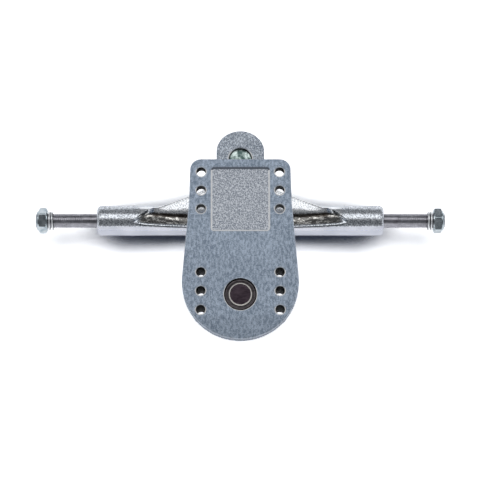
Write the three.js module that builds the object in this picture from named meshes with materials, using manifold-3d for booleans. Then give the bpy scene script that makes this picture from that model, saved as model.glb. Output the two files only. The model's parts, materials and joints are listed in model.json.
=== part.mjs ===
// Skateboard truck with a spring-centred swing arm, as used at the front of a surf-style board.
// Millimetres. Origin: centre of the deck bolt pattern, on the deck face of the base plate.
// +X runs along the axle, +Y from the swing pivot towards the kingpin, +Z up to the deck.
import * as THREE from 'three';
import { mergeVertices } from 'three/addons/utils/BufferGeometryUtils.js';
import Module from 'manifold-3d';

const wasm = await Module();
wasm.setup();

const MM = 1;                        // one millimetre
const DEG = Math.PI / 180;
const RUNNING_GAP = 0.25 * MM;       // between pieces that turn or slide on each other
const SEAT_GAP = 0.2 * MM;           // between pieces that are clamped or pressed together
const OVERRUN = 2 * MM;              // how far a cutter runs past the face that it cuts
const WELD = 0.0001 * MM;            // points closer than this are one point
const FINE = 40;                     // sides of a large round
const ROUND = 24;                    // sides of a middling round
const SMALL = 16;                    // sides of a small round
const HEX_CORNER_SHARE = 1 / Math.sqrt(3);   // a hexagon's corner radius over its width across flats

// Main sizes, which the smaller ones follow
const AXLE_LENGTH = 228.8 * MM;
const HANGER_LENGTH = 160.2 * MM;
const ARM_REACH = 78.3 * MM;         // swing pivot to kingpin
const TRUCK_HEIGHT = 80.6 * MM;      // deck face to the underside of the hanger's barrel

// Base plate
const PLATE = {
  thickness: 7 * MM,
  frontY: 44 * MM,                   // straight edge at the kingpin end
  frontHalf: 26.5 * MM,
  cornerR: 5.7 * MM,
  waistY: 20 * MM,                   // the sides begin to splay here
  waistHalf: 27 * MM,
  roundY: -22 * MM,                  // centre of the round end
  roundR: 30.5 * MM,
  edge: 0.6 * MM,                    // bevel all round
};
const RECESS = {                     // shallow cast panel in the deck face
  halfX: 15.8 * MM,
  lowY: 4.6 * MM,
  highY: 39.8 * MM,
  depth: 1 * MM,
  draft: 1.2 * MM,
  corner: 2 * MM,
};
const BOLT = {
  spacingX: 41.3 * MM,
  innerY: 17 * MM,                   // first row each side of the centre
  pitchY: 10 * MM,
  rows: 3,
  radius: 2.45 * MM,
  chamfer: 0.4 * MM,
};
const HOUSING = {                    // block under the round end, round the swing pivot
  depth: 12 * MM,
  halfX: 24.7 * MM,
  lowY: -41.5 * MM,
  highY: -12.3 * MM,
  corner: 5 * MM,
  roundR: 18.2 * MM,
  edge: 0.8 * MM,
};
const LIGHTENING = { halfX: 14 * MM, lowY: -4 * MM, highY: 36 * MM, depth: 2.6 * MM, corner: 4 * MM };

// Swing pivot
const PIN = {
  y: -28.8 * MM,
  radius: 6.1 * MM,
  topSink: 0.4 * MM,
  topChamfer: 0.5 * MM,
  flangeR: 10 * MM,
  flangeTop: -8.7 * MM,
  flangeDepth: 4.2 * MM,
  footStandOut: 1.6 * MM,            // beyond its nut
  footChamfer: 1 * MM,
};
const COLLAR = { outerR: 8.2 * MM, sink: 1.3 * MM, depth: 1.2 * MM, wallGap: 0.3 * MM, rimChamfer: 0.35 * MM };
const THRUST = {
  outerR: 14.4 * MM,
  washer: 1 * MM,
  rollerR: 1 * MM,
  rollers: 12,
  rollerInR: 8.2 * MM,
  rollerOutR: 12.8 * MM,
  cage: 1.2 * MM,
  pocketGap: 0.5 * MM,
};

// Swing arm
const ARM = {
  topZ: -20 * MM,
  tabPastKing: 4.4 * MM,             // the tab's end is half an ellipse about a point this far out
  tabHalf: 12.85 * MM,
  tabReach: 11.5 * MM,
  waistY: 8 * MM,
  waistHalf: 11.6 * MM,
  bellyZ: -31 * MM,
  bellyRise: 4 * MM,                 // the beam is this much thinner at the waist
  edge: 0.5 * MM,
};
const HUB = {
  outerR: 15.8 * MM,
  topR: 14.2 * MM,
  footZ: -38 * MM,
  bevel: 1 * MM,
  cavityR: 13.6 * MM,
  cavityTopZ: -22.6 * MM,
  sleeveR: 9 * MM,
  sleeveFootZ: -35.2 * MM,
};
const HUB_BUSH = { outerR: 7.9 * MM, height: 6.5 * MM };
const SPRING = { wireR: 1.35 * MM, turns: 3.5, legReach: 1.6 * MM, bend: 2.4 * MM, stepsPerTurn: 18, sides: 6 };
const SPRING_ANCHOR = { outerR: 13.2 * MM, thickness: 2.6 * MM };
const PIVOT_WASHER = { radius: 11.5 * MM, thickness: 1.6 * MM };
const PIVOT_NUT = { acrossFlats: 19 * MM, height: 8 * MM, chamfer: 0.9 * MM };

// Kingpin, measured downwards from the arm's top face
const KING = {
  y: PIN.y + ARM_REACH,
  radius: 4.76 * MM,
  headR: 5.9 * MM,
  headDepth: 4.2 * MM,
  headDome: 1.1 * MM,
  headSink: 0.5 * MM,
  pocketR: 6.3 * MM,
  pocketDepth: 5 * MM,
  pocketChamfer: 0.45 * MM,
  seat: 11 * MM,                     // arm's top face to the bushing seat
  ring: 30 * MM,                     // arm's top face to the middle of the hanger's ring
  length: 59.3 * MM,
  footChamfer: 0.9 * MM,
};
const KING_WASHER = { upperR: 11.4 * MM, lowerR: 10 * MM, thickness: 1.8 * MM, lip: 1 * MM,
  lipThickness: 1.2 * MM };
const KING_NUT = { acrossFlats: 14.3 * MM, height: 7 * MM, collarR: 6.4 * MM, collar: 2.4 * MM, chamfer: 0.8 * MM };
const BUSHING = { radius: 12 * MM, coneFootR: 9.6 * MM, chamfer: 1.2 * MM };
const NYLON = { outerR: 1 * MM, sink: 0.5 * MM, height: 2.2 * MM };

// Hanger
const AXLE = { behindKing: 21 * MM, radius: 3.97 * MM, chamfer: 0.6 * MM };
const HANGER = {
  endR: 8.4 * MM,
  midR: 8.6 * MM,
  endRound: 1.3 * MM,
  webStartX: 60 * MM,                // the pocket starts here, and the web under it
  webFoot: 1.9 * MM,                 // how far out its edge lies there, inside the barrel
  webRise: 23.8 * MM,                // how far it climbs with the way in
  webFlare: 5.6 * MM,                // and with the fourth power of the way in
  webEdgeR: 1.4 * MM,
  pocketFloor: 2.3 * MM,             // above the web's middle plane
  pocketFloorShare: 0.6,             // where the scoop's outer handle lies, from barrel to edge
  pocketFade: 7 * MM,
  lipStart: 62 * DEG,                // how far round the barrel the lip stands at the web's start
  lipTurn: 26 * DEG,                 // and how much farther at the middle
  rimStart: 58 * DEG,                // the pocket's rim starts beside the lip
  rimRun: 11.8 * MM,                 // and slides round to the web's edge within this length
  ringR: 14.5 * MM,
  ringHalf: 5.4 * MM,
  seatR: 12.5 * MM,
  seatHalf: 3.4 * MM,                // the bushings sit this far from the ring's middle
  holeR: 7.4 * MM,
  rootR: 7.6 * MM,
  stemR: 4.5 * MM,
  tipR: 5.2 * MM,
  tipStart: 30 * DEG,                // the stem's round tip runs from here
  tipTurn: 120 * DEG,
  gussetHalf: 5.5 * MM,
  gussetShare: 0.42,                 // where the rib leaves the stem, from cup to ring
  edge: 0.8 * MM,
};
const PIVOT_CUP = { y: -3 * MM, z: -38 * MM, outerR: 7.5 * MM, floor: 2 * MM, mouth: 4.5 * MM,
  wall: 2.6 * MM, floorWall: 2.6 * MM, bevel: 0.8 * MM };
const AXLE_NUT = { acrossFlats: 12.7 * MM, hex: 4.4 * MM, face: 0.5 * MM, faceR: 5.9 * MM,
  collarR: 5.6 * MM, collar: 1.6 * MM, chamfer: 0.6 * MM };
const NUT_ROLLS = { left: 4 * DEG, right: -14 * DEG };
const SPEED_RING = { outerR: 5.3 * MM, thickness: 0.8 * MM, play: 0.7 * MM };

// Places worked out from the sizes above
const housingFootZ = -(PLATE.thickness + HOUSING.depth);
const pocketR = THRUST.outerR + THRUST.pocketGap;
const tabY = KING.y + ARM.tabPastKing;
const hangerHalf = HANGER_LENGTH / 2;
const axleY = KING.y - AXLE.behindKing;
const axleZ = HANGER.midR - TRUCK_HEIGHT;
const axleNutX = AXLE_LENGTH / 2 - AXLE_NUT.face - AXLE_NUT.hex - AXLE_NUT.collar;
const outerRingX = axleNutX - SPEED_RING.play - SPEED_RING.thickness;
const innerRingX = outerRingX - SPEED_RING.play - SPEED_RING.thickness;
const kingTop = new THREE.Vector3(0, KING.y, ARM.topZ);
const down = new THREE.Vector3(0, 0, -1);
const ringCentre = kingTop.clone().addScaledVector(down, KING.ring);
const pivotPoint = new THREE.Vector3(0, PIVOT_CUP.y, PIVOT_CUP.z);
const steerLine = ringCentre.clone().sub(pivotPoint);
const steerOut = steerLine.clone().normalize();

// A solid from any three.js geometry: only positions, shared vertices merged, faces pointing out.
function solidOf(geometry) {
  const bare = new THREE.BufferGeometry();
  bare.setAttribute('position', geometry.getAttribute('position').clone());
  if (geometry.index) bare.setIndex(geometry.index.clone());
  const merged = mergeVertices(bare, WELD);
  const p = merged.getAttribute('position');
  const kept = [];
  let volume = 0;
  const a = new THREE.Vector3();
  const b = new THREE.Vector3();
  const c = new THREE.Vector3();
  for (let i = 0; i < merged.index.count; i += 3) {
    const [i0, i1, i2] = [0, 1, 2].map((k) => merged.index.getX(i + k));
    if (i0 === i1 || i1 === i2 || i2 === i0) continue;
    kept.push(i0, i1, i2);
    a.fromBufferAttribute(p, i0);
    b.fromBufferAttribute(p, i1);
    c.fromBufferAttribute(p, i2);
    volume += a.dot(b.cross(c));
  }
  if (volume < 0) kept.reverse();
  return new wasm.Manifold(new wasm.Mesh({
    numProp: 3,
    vertProperties: new Float32Array(p.array),
    triVerts: new Uint32Array(kept),
  }));
}

function geometryOf(solid) {
  const mesh = solid.getMesh();
  const geometry = new THREE.BufferGeometry();
  const points = new Float32Array(mesh.numVert * 3);
  for (let i = 0; i < mesh.numVert; i += 1) {
    for (let k = 0; k < 3; k += 1) points[3 * i + k] = mesh.vertProperties[i * mesh.numProp + k];
  }
  geometry.setAttribute('position', new THREE.BufferAttribute(points, 3));
  geometry.setIndex(new THREE.BufferAttribute(new Uint32Array(mesh.triVerts), 1));
  return geometry;
}

// A profile of [radius, height] pairs turned about +Z.
function turned(profile, sides = ROUND) {
  const points = profile.map(([r, z]) => new THREE.Vector2(r, z));
  return new THREE.LatheGeometry(points, sides).rotateX(Math.PI / 2);
}

// A turned ring or disc between two heights, with an optional bevel on the outer edges.
function disc(outerR, lowZ, highZ, sides = ROUND, innerR = 0, bevel = 0) {
  return turned([
    [innerR, lowZ], [outerR - bevel, lowZ], [outerR, lowZ + bevel],
    [outerR, highZ - bevel], [outerR - bevel, highZ], [innerR, highZ], [innerR, lowZ],
  ], sides);
}

// Turns a piece made along +Z so that it lies along `direction`, and moves it to `place`.
function laid(geometry, direction, place) {
  const turn = new THREE.Quaternion().setFromUnitVectors(new THREE.Vector3(0, 0, 1), direction);
  return geometry.applyQuaternion(turn).translate(place.x, place.y, place.z);
}

// An outline in X and Y raised between two heights, with an optional bevel on both faces.
function raised(shape, lowZ, highZ, bevel = 0, curveSegments = 12) {
  const geometry = new THREE.ExtrudeGeometry(shape, {
    depth: highZ - lowZ - 2 * bevel,
    bevelEnabled: bevel > 0,
    bevelThickness: bevel,
    bevelSize: bevel,
    bevelOffset: -bevel,
    bevelSegments: 1,
    curveSegments,
  });
  return geometry.translate(0, 0, lowZ + bevel);
}

// A side view in Y and Z carried across X, centred on X = 0.
function carriedAcross(points, halfX, bevel = 0) {
  const shape = new THREE.Shape(points.map(([y, z]) => new THREE.Vector2(y, z)));
  const flat = raised(shape, -halfX, halfX, bevel);
  const swap = new THREE.Matrix4().set(0, 0, 1, 0, 1, 0, 0, 0, 0, 1, 0, 0, 0, 0, 0, 1);
  return flat.applyMatrix4(swap);
}

function roundedBox(halfX, lowY, highY, corner) {
  const shape = new THREE.Shape();
  shape.moveTo(halfX, lowY + corner);
  shape.lineTo(halfX, highY - corner);
  shape.absarc(halfX - corner, highY - corner, corner, 0, Math.PI / 2);
  shape.lineTo(-halfX + corner, highY);
  shape.absarc(-halfX + corner, highY - corner, corner, Math.PI / 2, Math.PI);
  shape.lineTo(-halfX, lowY + corner);
  shape.absarc(-halfX + corner, lowY + corner, corner, Math.PI, 1.5 * Math.PI);
  shape.lineTo(halfX - corner, lowY);
  shape.absarc(halfX - corner, lowY + corner, corner, 1.5 * Math.PI, 2 * Math.PI);
  return shape;
}

// A hexagonal prism along +Z, its corners trimmed by a cone at each end that asks for it.
function hexagon(acrossFlats, lowZ, highZ, chamfer, bothEnds = true) {
  const cornerR = acrossFlats * HEX_CORNER_SHARE;
  const blank = solidOf(new THREE.CylinderGeometry(cornerR, cornerR, highZ - lowZ, 6)
    .rotateX(Math.PI / 2).translate(0, 0, (lowZ + highZ) / 2));
  const slope = 0.6 * chamfer;
  const flatR = cornerR - chamfer;
  const trim = turned([
    [0, lowZ], [bothEnds ? flatR : cornerR, lowZ], [cornerR, lowZ + (bothEnds ? slope : 0)],
    [cornerR, highZ - slope], [flatR, highZ], [0, highZ],
  ], ROUND);
  return blank.intersect(solidOf(trim));
}

function boltPlaces() {
  const places = [];
  for (const side of [-1, 1]) {
    for (const end of [-1, 1]) {
      for (let row = 0; row < BOLT.rows; row += 1) {
        places.push([side * BOLT.spacingX / 2, end * (BOLT.innerY + row * BOLT.pitchY)]);
      }
    }
  }
  return places;
}

function plateOutline() {
  const rise = PLATE.waistY - PLATE.roundY;
  const reach = Math.hypot(PLATE.waistHalf, rise);
  const tangent = Math.atan2(rise, PLATE.waistHalf) - Math.acos(PLATE.roundR / reach);
  const shape = new THREE.Shape();
  shape.moveTo(PLATE.waistHalf, PLATE.waistY);
  shape.lineTo(PLATE.frontHalf, PLATE.frontY - PLATE.cornerR);
  shape.absarc(PLATE.frontHalf - PLATE.cornerR, PLATE.frontY - PLATE.cornerR, PLATE.cornerR, 0, Math.PI / 2);
  shape.lineTo(-PLATE.frontHalf + PLATE.cornerR, PLATE.frontY);
  shape.absarc(-PLATE.frontHalf + PLATE.cornerR, PLATE.frontY - PLATE.cornerR, PLATE.cornerR, Math.PI / 2, Math.PI);
  shape.lineTo(-PLATE.waistHalf, PLATE.waistY);
  shape.absarc(0, PLATE.roundY, PLATE.roundR, Math.PI - tangent, 2 * Math.PI + tangent);
  return shape;
}

function recessCutter() {
  const geometry = new THREE.ExtrudeGeometry(
    roundedBox(RECESS.halfX, RECESS.lowY, RECESS.highY, RECESS.corner),
    {
      depth: OVERRUN,
      bevelEnabled: true,
      bevelThickness: RECESS.depth,
      bevelSize: RECESS.draft,
      bevelOffset: -RECESS.draft,
      bevelSegments: 1,
      curveSegments: 4,
    },
  );
  return solidOf(geometry);
}

function housing() {
  const block = raised(roundedBox(HOUSING.halfX, HOUSING.lowY, HOUSING.highY, HOUSING.corner),
    housingFootZ, -PLATE.thickness / 2, HOUSING.edge, 5);
  const round = disc(HOUSING.roundR, housingFootZ, -PLATE.thickness / 2, FINE, 0, HOUSING.edge);
  return solidOf(block).add(solidOf(round.translate(0, PIN.y, 0)));
}

function basePlate() {
  let body = solidOf(raised(plateOutline(), -PLATE.thickness, 0, PLATE.edge, 16)).add(housing());
  const lightening = raised(
    roundedBox(LIGHTENING.halfX, LIGHTENING.lowY, LIGHTENING.highY, LIGHTENING.corner),
    -PLATE.thickness - OVERRUN, -PLATE.thickness + LIGHTENING.depth, 0, 4,
  );
  body = body.subtract(recessCutter()).subtract(solidOf(lightening));
  const hole = turned([
    [0, housingFootZ - OVERRUN], [BOLT.radius, housingFootZ - OVERRUN], [BOLT.radius, -BOLT.chamfer],
    [BOLT.radius + BOLT.chamfer + OVERRUN, OVERRUN], [0, OVERRUN],
  ], SMALL);
  for (const [x, y] of boltPlaces()) body = body.subtract(solidOf(hole.clone().translate(x, y, 0)));
  const collarR = COLLAR.outerR + COLLAR.wallGap;
  const collarFoot = -COLLAR.sink - COLLAR.depth - SEAT_GAP;
  const flangeFoot = PIN.flangeTop - PIN.flangeDepth - SEAT_GAP;
  const bore = turned([
    [0, housingFootZ - OVERRUN], [pocketR, housingFootZ - OVERRUN], [pocketR, flangeFoot],
    [PIN.flangeR + SEAT_GAP, flangeFoot], [PIN.flangeR + SEAT_GAP, PIN.flangeTop + SEAT_GAP],
    [PIN.radius + SEAT_GAP, PIN.flangeTop + SEAT_GAP],
    [PIN.radius + SEAT_GAP, collarFoot], [collarR, collarFoot], [collarR, -COLLAR.rimChamfer],
    [collarR + COLLAR.rimChamfer + OVERRUN, OVERRUN], [0, OVERRUN],
  ], FINE).translate(0, PIN.y, 0);
  return body.subtract(solidOf(bore));
}

// Heights of the thrust bearing's layers, from the pin's flange down to the arm's hub.
function thrustLayers() {
  const upperTop = PIN.flangeTop - PIN.flangeDepth - 2 * SEAT_GAP;
  const rollerTop = upperTop - THRUST.washer - RUNNING_GAP;
  const lowerTop = rollerTop - 2 * THRUST.rollerR - RUNNING_GAP;
  return { upperTop, rollerTop, lowerTop, hubTop: lowerTop - THRUST.washer - SEAT_GAP };
}

// Heights of what hangs under the hub, from the sleeve's foot down to the pin's end.
function pivotStack() {
  const anchorTop = HUB.sleeveFootZ - RUNNING_GAP;
  const washerTop = anchorTop - SPRING_ANCHOR.thickness - SEAT_GAP;
  const nutTop = washerTop - PIVOT_WASHER.thickness - SEAT_GAP;
  return { anchorTop, washerTop, nutTop, pinFoot: nutTop - PIVOT_NUT.height - PIN.footStandOut };
}

function pivotPin() {
  const { pinFoot } = pivotStack();
  return solidOf(turned([
    [0, pinFoot], [PIN.radius - PIN.footChamfer, pinFoot], [PIN.radius, pinFoot + PIN.footChamfer],
    [PIN.radius, PIN.flangeTop - PIN.flangeDepth], [PIN.flangeR, PIN.flangeTop - PIN.flangeDepth],
    [PIN.flangeR, PIN.flangeTop], [PIN.radius, PIN.flangeTop],
    [PIN.radius, -PIN.topSink - PIN.topChamfer], [PIN.radius - PIN.topChamfer, -PIN.topSink], [0, -PIN.topSink],
  ]).translate(0, PIN.y, 0));
}

function pivotCollar() {
  const top = -COLLAR.sink;
  return solidOf(disc(COLLAR.outerR, top - COLLAR.depth, top, FINE, PIN.radius + SEAT_GAP, SEAT_GAP)
    .translate(0, PIN.y, 0));
}

function thrustWasher(topZ) {
  return solidOf(disc(THRUST.outerR, topZ - THRUST.washer, topZ, FINE, PIN.radius + RUNNING_GAP)
    .translate(0, PIN.y, 0));
}

function roller(index, radius, innerR, outerR, middleZ) {
  return new THREE.CylinderGeometry(radius, radius, outerR - innerR, 10)
    .rotateZ(Math.PI / 2).translate((innerR + outerR) / 2, 0, 0)
    .rotateZ(index * 2 * Math.PI / THRUST.rollers)
    .translate(0, PIN.y, middleZ);
}

function thrustCage() {
  const middleZ = thrustLayers().rollerTop - THRUST.rollerR;
  let cage = solidOf(disc(THRUST.outerR - SEAT_GAP, middleZ - THRUST.cage / 2, middleZ + THRUST.cage / 2,
    FINE, PIN.radius + RUNNING_GAP).translate(0, PIN.y, 0));
  for (let i = 0; i < THRUST.rollers; i += 1) {
    cage = cage.subtract(solidOf(roller(i, THRUST.rollerR + SEAT_GAP, THRUST.rollerInR - SEAT_GAP,
      THRUST.rollerOutR + SEAT_GAP, middleZ)));
  }
  return cage;
}

function thrustRoller(index) {
  const middleZ = thrustLayers().rollerTop - THRUST.rollerR;
  return solidOf(roller(index, THRUST.rollerR, THRUST.rollerInR, THRUST.rollerOutR, middleZ));
}

// The spring's centre line: an axial leg into the hub's roof, the turns, an axial leg into the anchor.
function springLine() {
  const meanR = (HUB.sleeveR + HUB.cavityR) / 2;
  const topZ = HUB.cavityTopZ - SPRING.wireR - SPRING.bend / 2;
  const footZ = pivotStack().anchorTop + SPRING.wireR + SPRING.bend / 2;
  const angle = SPRING.turns * 2 * Math.PI;
  const at = (turn, z) => new THREE.Vector3(
    meanR * Math.cos(turn * angle),
    PIN.y + meanR * Math.sin(turn * angle),
    z,
  );
  class Turns extends THREE.Curve {
    getPoint(t) {
      return at(t, topZ + (footZ - topZ) * t);
    }
  }
  const turns = new Turns();
  const start = at(0, topZ);
  const finish = at(1, footZ);
  const before = start.clone().addScaledVector(turns.getTangent(0), -SPRING.bend);
  const after = finish.clone().addScaledVector(turns.getTangent(1), SPRING.bend);
  const up = before.clone().setZ(before.z + SPRING.bend);
  const low = after.clone().setZ(after.z - SPRING.bend);
  const roof = up.clone().setZ(HUB.cavityTopZ + SPRING.legReach);
  const floor = low.clone().setZ(pivotStack().anchorTop - SPRING.legReach);
  const line = new THREE.CurvePath();
  line.add(new THREE.LineCurve3(roof, up));
  line.add(new THREE.QuadraticBezierCurve3(up, before, start));
  line.add(turns);
  line.add(new THREE.QuadraticBezierCurve3(finish, after, low));
  line.add(new THREE.LineCurve3(low, floor));
  return { line, roof, floor };
}

function returnSpring() {
  const section = new THREE.Shape();
  section.absarc(0, 0, SPRING.wireR, 0, 2 * Math.PI);
  const geometry = new THREE.ExtrudeGeometry(section, {
    steps: Math.round(SPRING.stepsPerTurn * (SPRING.turns + 1)),
    curveSegments: SPRING.sides / 2,
    extrudePath: springLine().line,
    bevelEnabled: false,
  });
  return solidOf(geometry);
}

// A hole for one of the spring's legs, centred on the leg's end.
function legHole(place) {
  const radius = SPRING.wireR + RUNNING_GAP;
  const reach = SPRING.legReach + 2 * RUNNING_GAP;
  return solidOf(disc(radius, -reach, reach, SMALL).translate(place.x, place.y, place.z));
}

function springAnchor() {
  const { anchorTop } = pivotStack();
  return solidOf(disc(SPRING_ANCHOR.outerR, anchorTop - SPRING_ANCHOR.thickness, anchorTop, FINE,
    PIN.radius + SEAT_GAP, SEAT_GAP).translate(0, PIN.y, 0)).subtract(legHole(springLine().floor));
}

function hubBush(topZ) {
  return solidOf(disc(HUB_BUSH.outerR, topZ - HUB_BUSH.height, topZ, ROUND, PIN.radius + RUNNING_GAP)
    .translate(0, PIN.y, 0));
}

const hubBushTops = () => ({
  upper: thrustLayers().hubTop - SEAT_GAP,
  lower: HUB.sleeveFootZ + HUB_BUSH.height + SEAT_GAP,
});

function armOutline() {
  const shape = new THREE.Shape();
  const half = HUB.outerR - ARM.edge;
  shape.moveTo(half, PIN.y);
  shape.quadraticCurveTo(ARM.waistHalf, PIN.y + half, ARM.waistHalf, ARM.waistY);
  shape.quadraticCurveTo(ARM.waistHalf, KING.y - ARM.tabHalf, ARM.tabHalf, KING.y);
  shape.lineTo(ARM.tabHalf, tabY);
  shape.absellipse(0, tabY, ARM.tabHalf, ARM.tabReach, 0, Math.PI);
  shape.lineTo(-ARM.tabHalf, KING.y);
  shape.quadraticCurveTo(-ARM.waistHalf, KING.y - ARM.tabHalf, -ARM.waistHalf, ARM.waistY);
  shape.quadraticCurveTo(-ARM.waistHalf, PIN.y + half, -half, PIN.y);
  return shape;
}

function armBeam() {
  const beam = solidOf(raised(armOutline(), ARM.topZ - KING.seat, ARM.topZ, ARM.edge, 10));
  const hollowLow = PIVOT_CUP.y + PIVOT_CUP.mouth + PIVOT_CUP.outerR;
  const hollowHigh = KING.y - ARM.tabHalf;
  const middle = (hollowLow + hollowHigh) / 2;
  const belly = solidOf(carriedAcross([
    [hollowLow, ARM.bellyZ - OVERRUN], [hollowHigh, ARM.bellyZ - OVERRUN],
    [hollowHigh, ARM.bellyZ], [middle + ARM.bellyRise, ARM.bellyZ + ARM.bellyRise],
    [middle - ARM.bellyRise, ARM.bellyZ + ARM.bellyRise], [hollowLow, ARM.bellyZ],
  ], 2 * ARM.tabHalf));
  return beam.subtract(belly);
}

function hubBlank() {
  return solidOf(turned([
    [0, HUB.footZ], [HUB.outerR - HUB.bevel, HUB.footZ], [HUB.outerR, HUB.footZ + HUB.bevel],
    [HUB.outerR, ARM.topZ - HUB.bevel], [HUB.outerR - HUB.bevel, ARM.topZ], [HUB.topR, ARM.topZ],
    [HUB.topR, thrustLayers().hubTop], [0, thrustLayers().hubTop],
  ], FINE).translate(0, PIN.y, 0));
}

// Everything that is bored out of the hub, for the pin, the bushes and the spring.
function hubHollow() {
  const { hubTop } = thrustLayers();
  const pinR = PIN.radius + RUNNING_GAP;
  const bushR = HUB_BUSH.outerR + SEAT_GAP;
  const { upper, lower } = hubBushTops();
  const bore = turned([
    [0, HUB.footZ - OVERRUN], [bushR, HUB.footZ - OVERRUN], [bushR, lower + SEAT_GAP], [pinR, lower + SEAT_GAP],
    [pinR, upper - HUB_BUSH.height - SEAT_GAP], [bushR, upper - HUB_BUSH.height - SEAT_GAP],
    [bushR, hubTop + OVERRUN], [0, hubTop + OVERRUN],
  ]);
  const cavity = disc(HUB.cavityR, HUB.footZ - OVERRUN, HUB.cavityTopZ, FINE, HUB.sleeveR);
  const anchorRoom = disc(HUB.cavityR, HUB.footZ - OVERRUN, HUB.sleeveFootZ, FINE);
  return [bore, cavity, anchorRoom]
    .map((cut) => solidOf(cut.translate(0, PIN.y, 0)))
    .reduce((all, cut) => all.add(cut));
}

function cupBoss() {
  const foot = -HANGER.tipR - PIVOT_CUP.floor - PIVOT_CUP.floorWall;
  return solidOf(laid(disc(PIVOT_CUP.outerR + PIVOT_CUP.wall, foot, PIVOT_CUP.mouth, ROUND, 0, PIVOT_CUP.bevel),
    steerOut, pivotPoint));
}

function swingArm() {
  const cupFoot = -HANGER.tipR - PIVOT_CUP.floor - SEAT_GAP;
  const socket = laid(disc(PIVOT_CUP.outerR + SEAT_GAP, cupFoot, PIVOT_CUP.mouth + OVERRUN), steerOut, pivotPoint);
  const kingHole = laid(disc(KING.radius + SEAT_GAP, -OVERRUN, KING.seat + OVERRUN), down, kingTop);
  const pocket = laid(turned([
    [0, -OVERRUN], [KING.pocketR + KING.pocketChamfer + OVERRUN, -OVERRUN], [KING.pocketR, KING.pocketChamfer],
    [KING.pocketR, KING.pocketDepth], [0, KING.pocketDepth],
  ], FINE), down, kingTop);
  return armBeam().add(hubBlank()).add(cupBoss())
    .subtract(hubHollow())
    .subtract(legHole(springLine().roof))
    .subtract(solidOf(socket))
    .subtract(solidOf(kingHole))
    .subtract(solidOf(pocket));
}

function pivotWasher() {
  const top = pivotStack().washerTop;
  return solidOf(disc(PIVOT_WASHER.radius, top - PIVOT_WASHER.thickness, top, FINE, PIN.radius + SEAT_GAP)
    .translate(0, PIN.y, 0));
}

function pivotNut() {
  const top = pivotStack().nutTop;
  const hex = hexagon(PIVOT_NUT.acrossFlats, top - PIVOT_NUT.height, top, PIVOT_NUT.chamfer)
    .translate([0, PIN.y, 0]);
  const bore = disc(PIN.radius + SEAT_GAP, top - PIVOT_NUT.height - OVERRUN, top + OVERRUN).translate(0, PIN.y, 0);
  return hex.subtract(solidOf(bore));
}

function pivotCup() {
  const foot = -HANGER.tipR - PIVOT_CUP.floor;
  const inner = HANGER.tipR + RUNNING_GAP;
  const profile = [[0, foot], [PIVOT_CUP.outerR, foot], [PIVOT_CUP.outerR, PIVOT_CUP.mouth], [inner, PIVOT_CUP.mouth], [inner, 0]];
  const bowlSteps = 5;
  for (let i = 1; i <= bowlSteps; i += 1) {
    const angle = (i / bowlSteps) * Math.PI / 2;
    profile.push([inner * Math.cos(angle), -inner * Math.sin(angle)]);
  }
  return solidOf(laid(turned(profile), steerOut, pivotPoint));
}

function kingpin() {
  const profile = [[0, KING.headSink]];
  const domeSteps = 4;
  for (let i = 1; i <= domeSteps; i += 1) {
    const angle = (i / domeSteps) * Math.PI / 2;
    profile.push([KING.headR * Math.sin(angle), KING.headSink + KING.headDome * (1 - Math.cos(angle))]);
  }
  const headFoot = KING.headSink + KING.headDepth;
  profile.push([KING.headR, headFoot], [KING.radius, headFoot], [KING.radius, KING.length - KING.footChamfer],
    [KING.radius - KING.footChamfer, KING.length], [0, KING.length]);
  return solidOf(laid(turned(profile), down, kingTop));
}

// The distances along the kingpin of everything that it clamps.
function kingStack() {
  const upperWasher = KING.seat + SEAT_GAP;
  const upperBushing = upperWasher + KING_WASHER.thickness + SEAT_GAP;
  const upperEnd = KING.ring - HANGER.seatHalf - SEAT_GAP;
  const lowerBushing = KING.ring + HANGER.seatHalf + SEAT_GAP;
  const nut = KING.length - 1.5 * KING.footChamfer - KING_NUT.height - KING_NUT.collar;
  const lowerWasher = nut - SEAT_GAP - KING_WASHER.thickness;
  return { upperWasher, upperBushing, upperEnd, lowerBushing, lowerEnd: lowerWasher - SEAT_GAP, lowerWasher, nut };
}

function kingWasher(start, radius, lipUp) {
  const bore = KING.radius + SEAT_GAP;
  const { thickness, lip, lipThickness } = KING_WASHER;
  const end = start + thickness;
  const plain = [[bore, start], [radius, start], [radius, end], [bore, end], [bore, start]];
  const lipped = lipUp
    ? [[bore, start], [radius, start], [radius, end + lip], [radius - lipThickness, end + lip],
      [radius - lipThickness, end], [bore, end], [bore, start]]
    : plain;
  return solidOf(laid(turned(lipped, FINE), down, kingTop));
}

function barrelBushing() {
  const { upperBushing, upperEnd } = kingStack();
  const bore = KING.radius + RUNNING_GAP;
  const { radius, chamfer } = BUSHING;
  const inLip = KING_WASHER.upperR - KING_WASHER.lipThickness - SEAT_GAP;
  const lipEnd = upperBushing + KING_WASHER.lip + SEAT_GAP;
  return solidOf(laid(turned([
    [bore, upperBushing], [inLip - chamfer / 2, upperBushing], [inLip, upperBushing + chamfer / 2], [inLip, lipEnd],
    [radius, lipEnd + chamfer], [radius, upperEnd - chamfer], [radius - chamfer, upperEnd], [bore, upperEnd],
    [bore, upperBushing],
  ], FINE), down, kingTop));
}

function coneBushing() {
  const { lowerBushing, lowerEnd } = kingStack();
  const bore = KING.radius + RUNNING_GAP;
  const { radius, coneFootR, chamfer } = BUSHING;
  return solidOf(laid(turned([
    [bore, lowerBushing], [radius - chamfer, lowerBushing], [radius, lowerBushing + chamfer],
    [radius, lowerBushing + 2.5 * chamfer], [coneFootR, lowerEnd - chamfer], [coneFootR - chamfer / 2, lowerEnd],
    [bore, lowerEnd], [bore, lowerBushing],
  ], FINE), down, kingTop));
}

// The places of a nylon ring let into the collar of a lock nut, along the nut's own axis.
function nylonRing(boreR, collarEnd) {
  const end = collarEnd - NYLON.sink;
  return { innerR: boreR, outerR: boreR + NYLON.outerR, start: end - NYLON.height, end };
}

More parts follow.
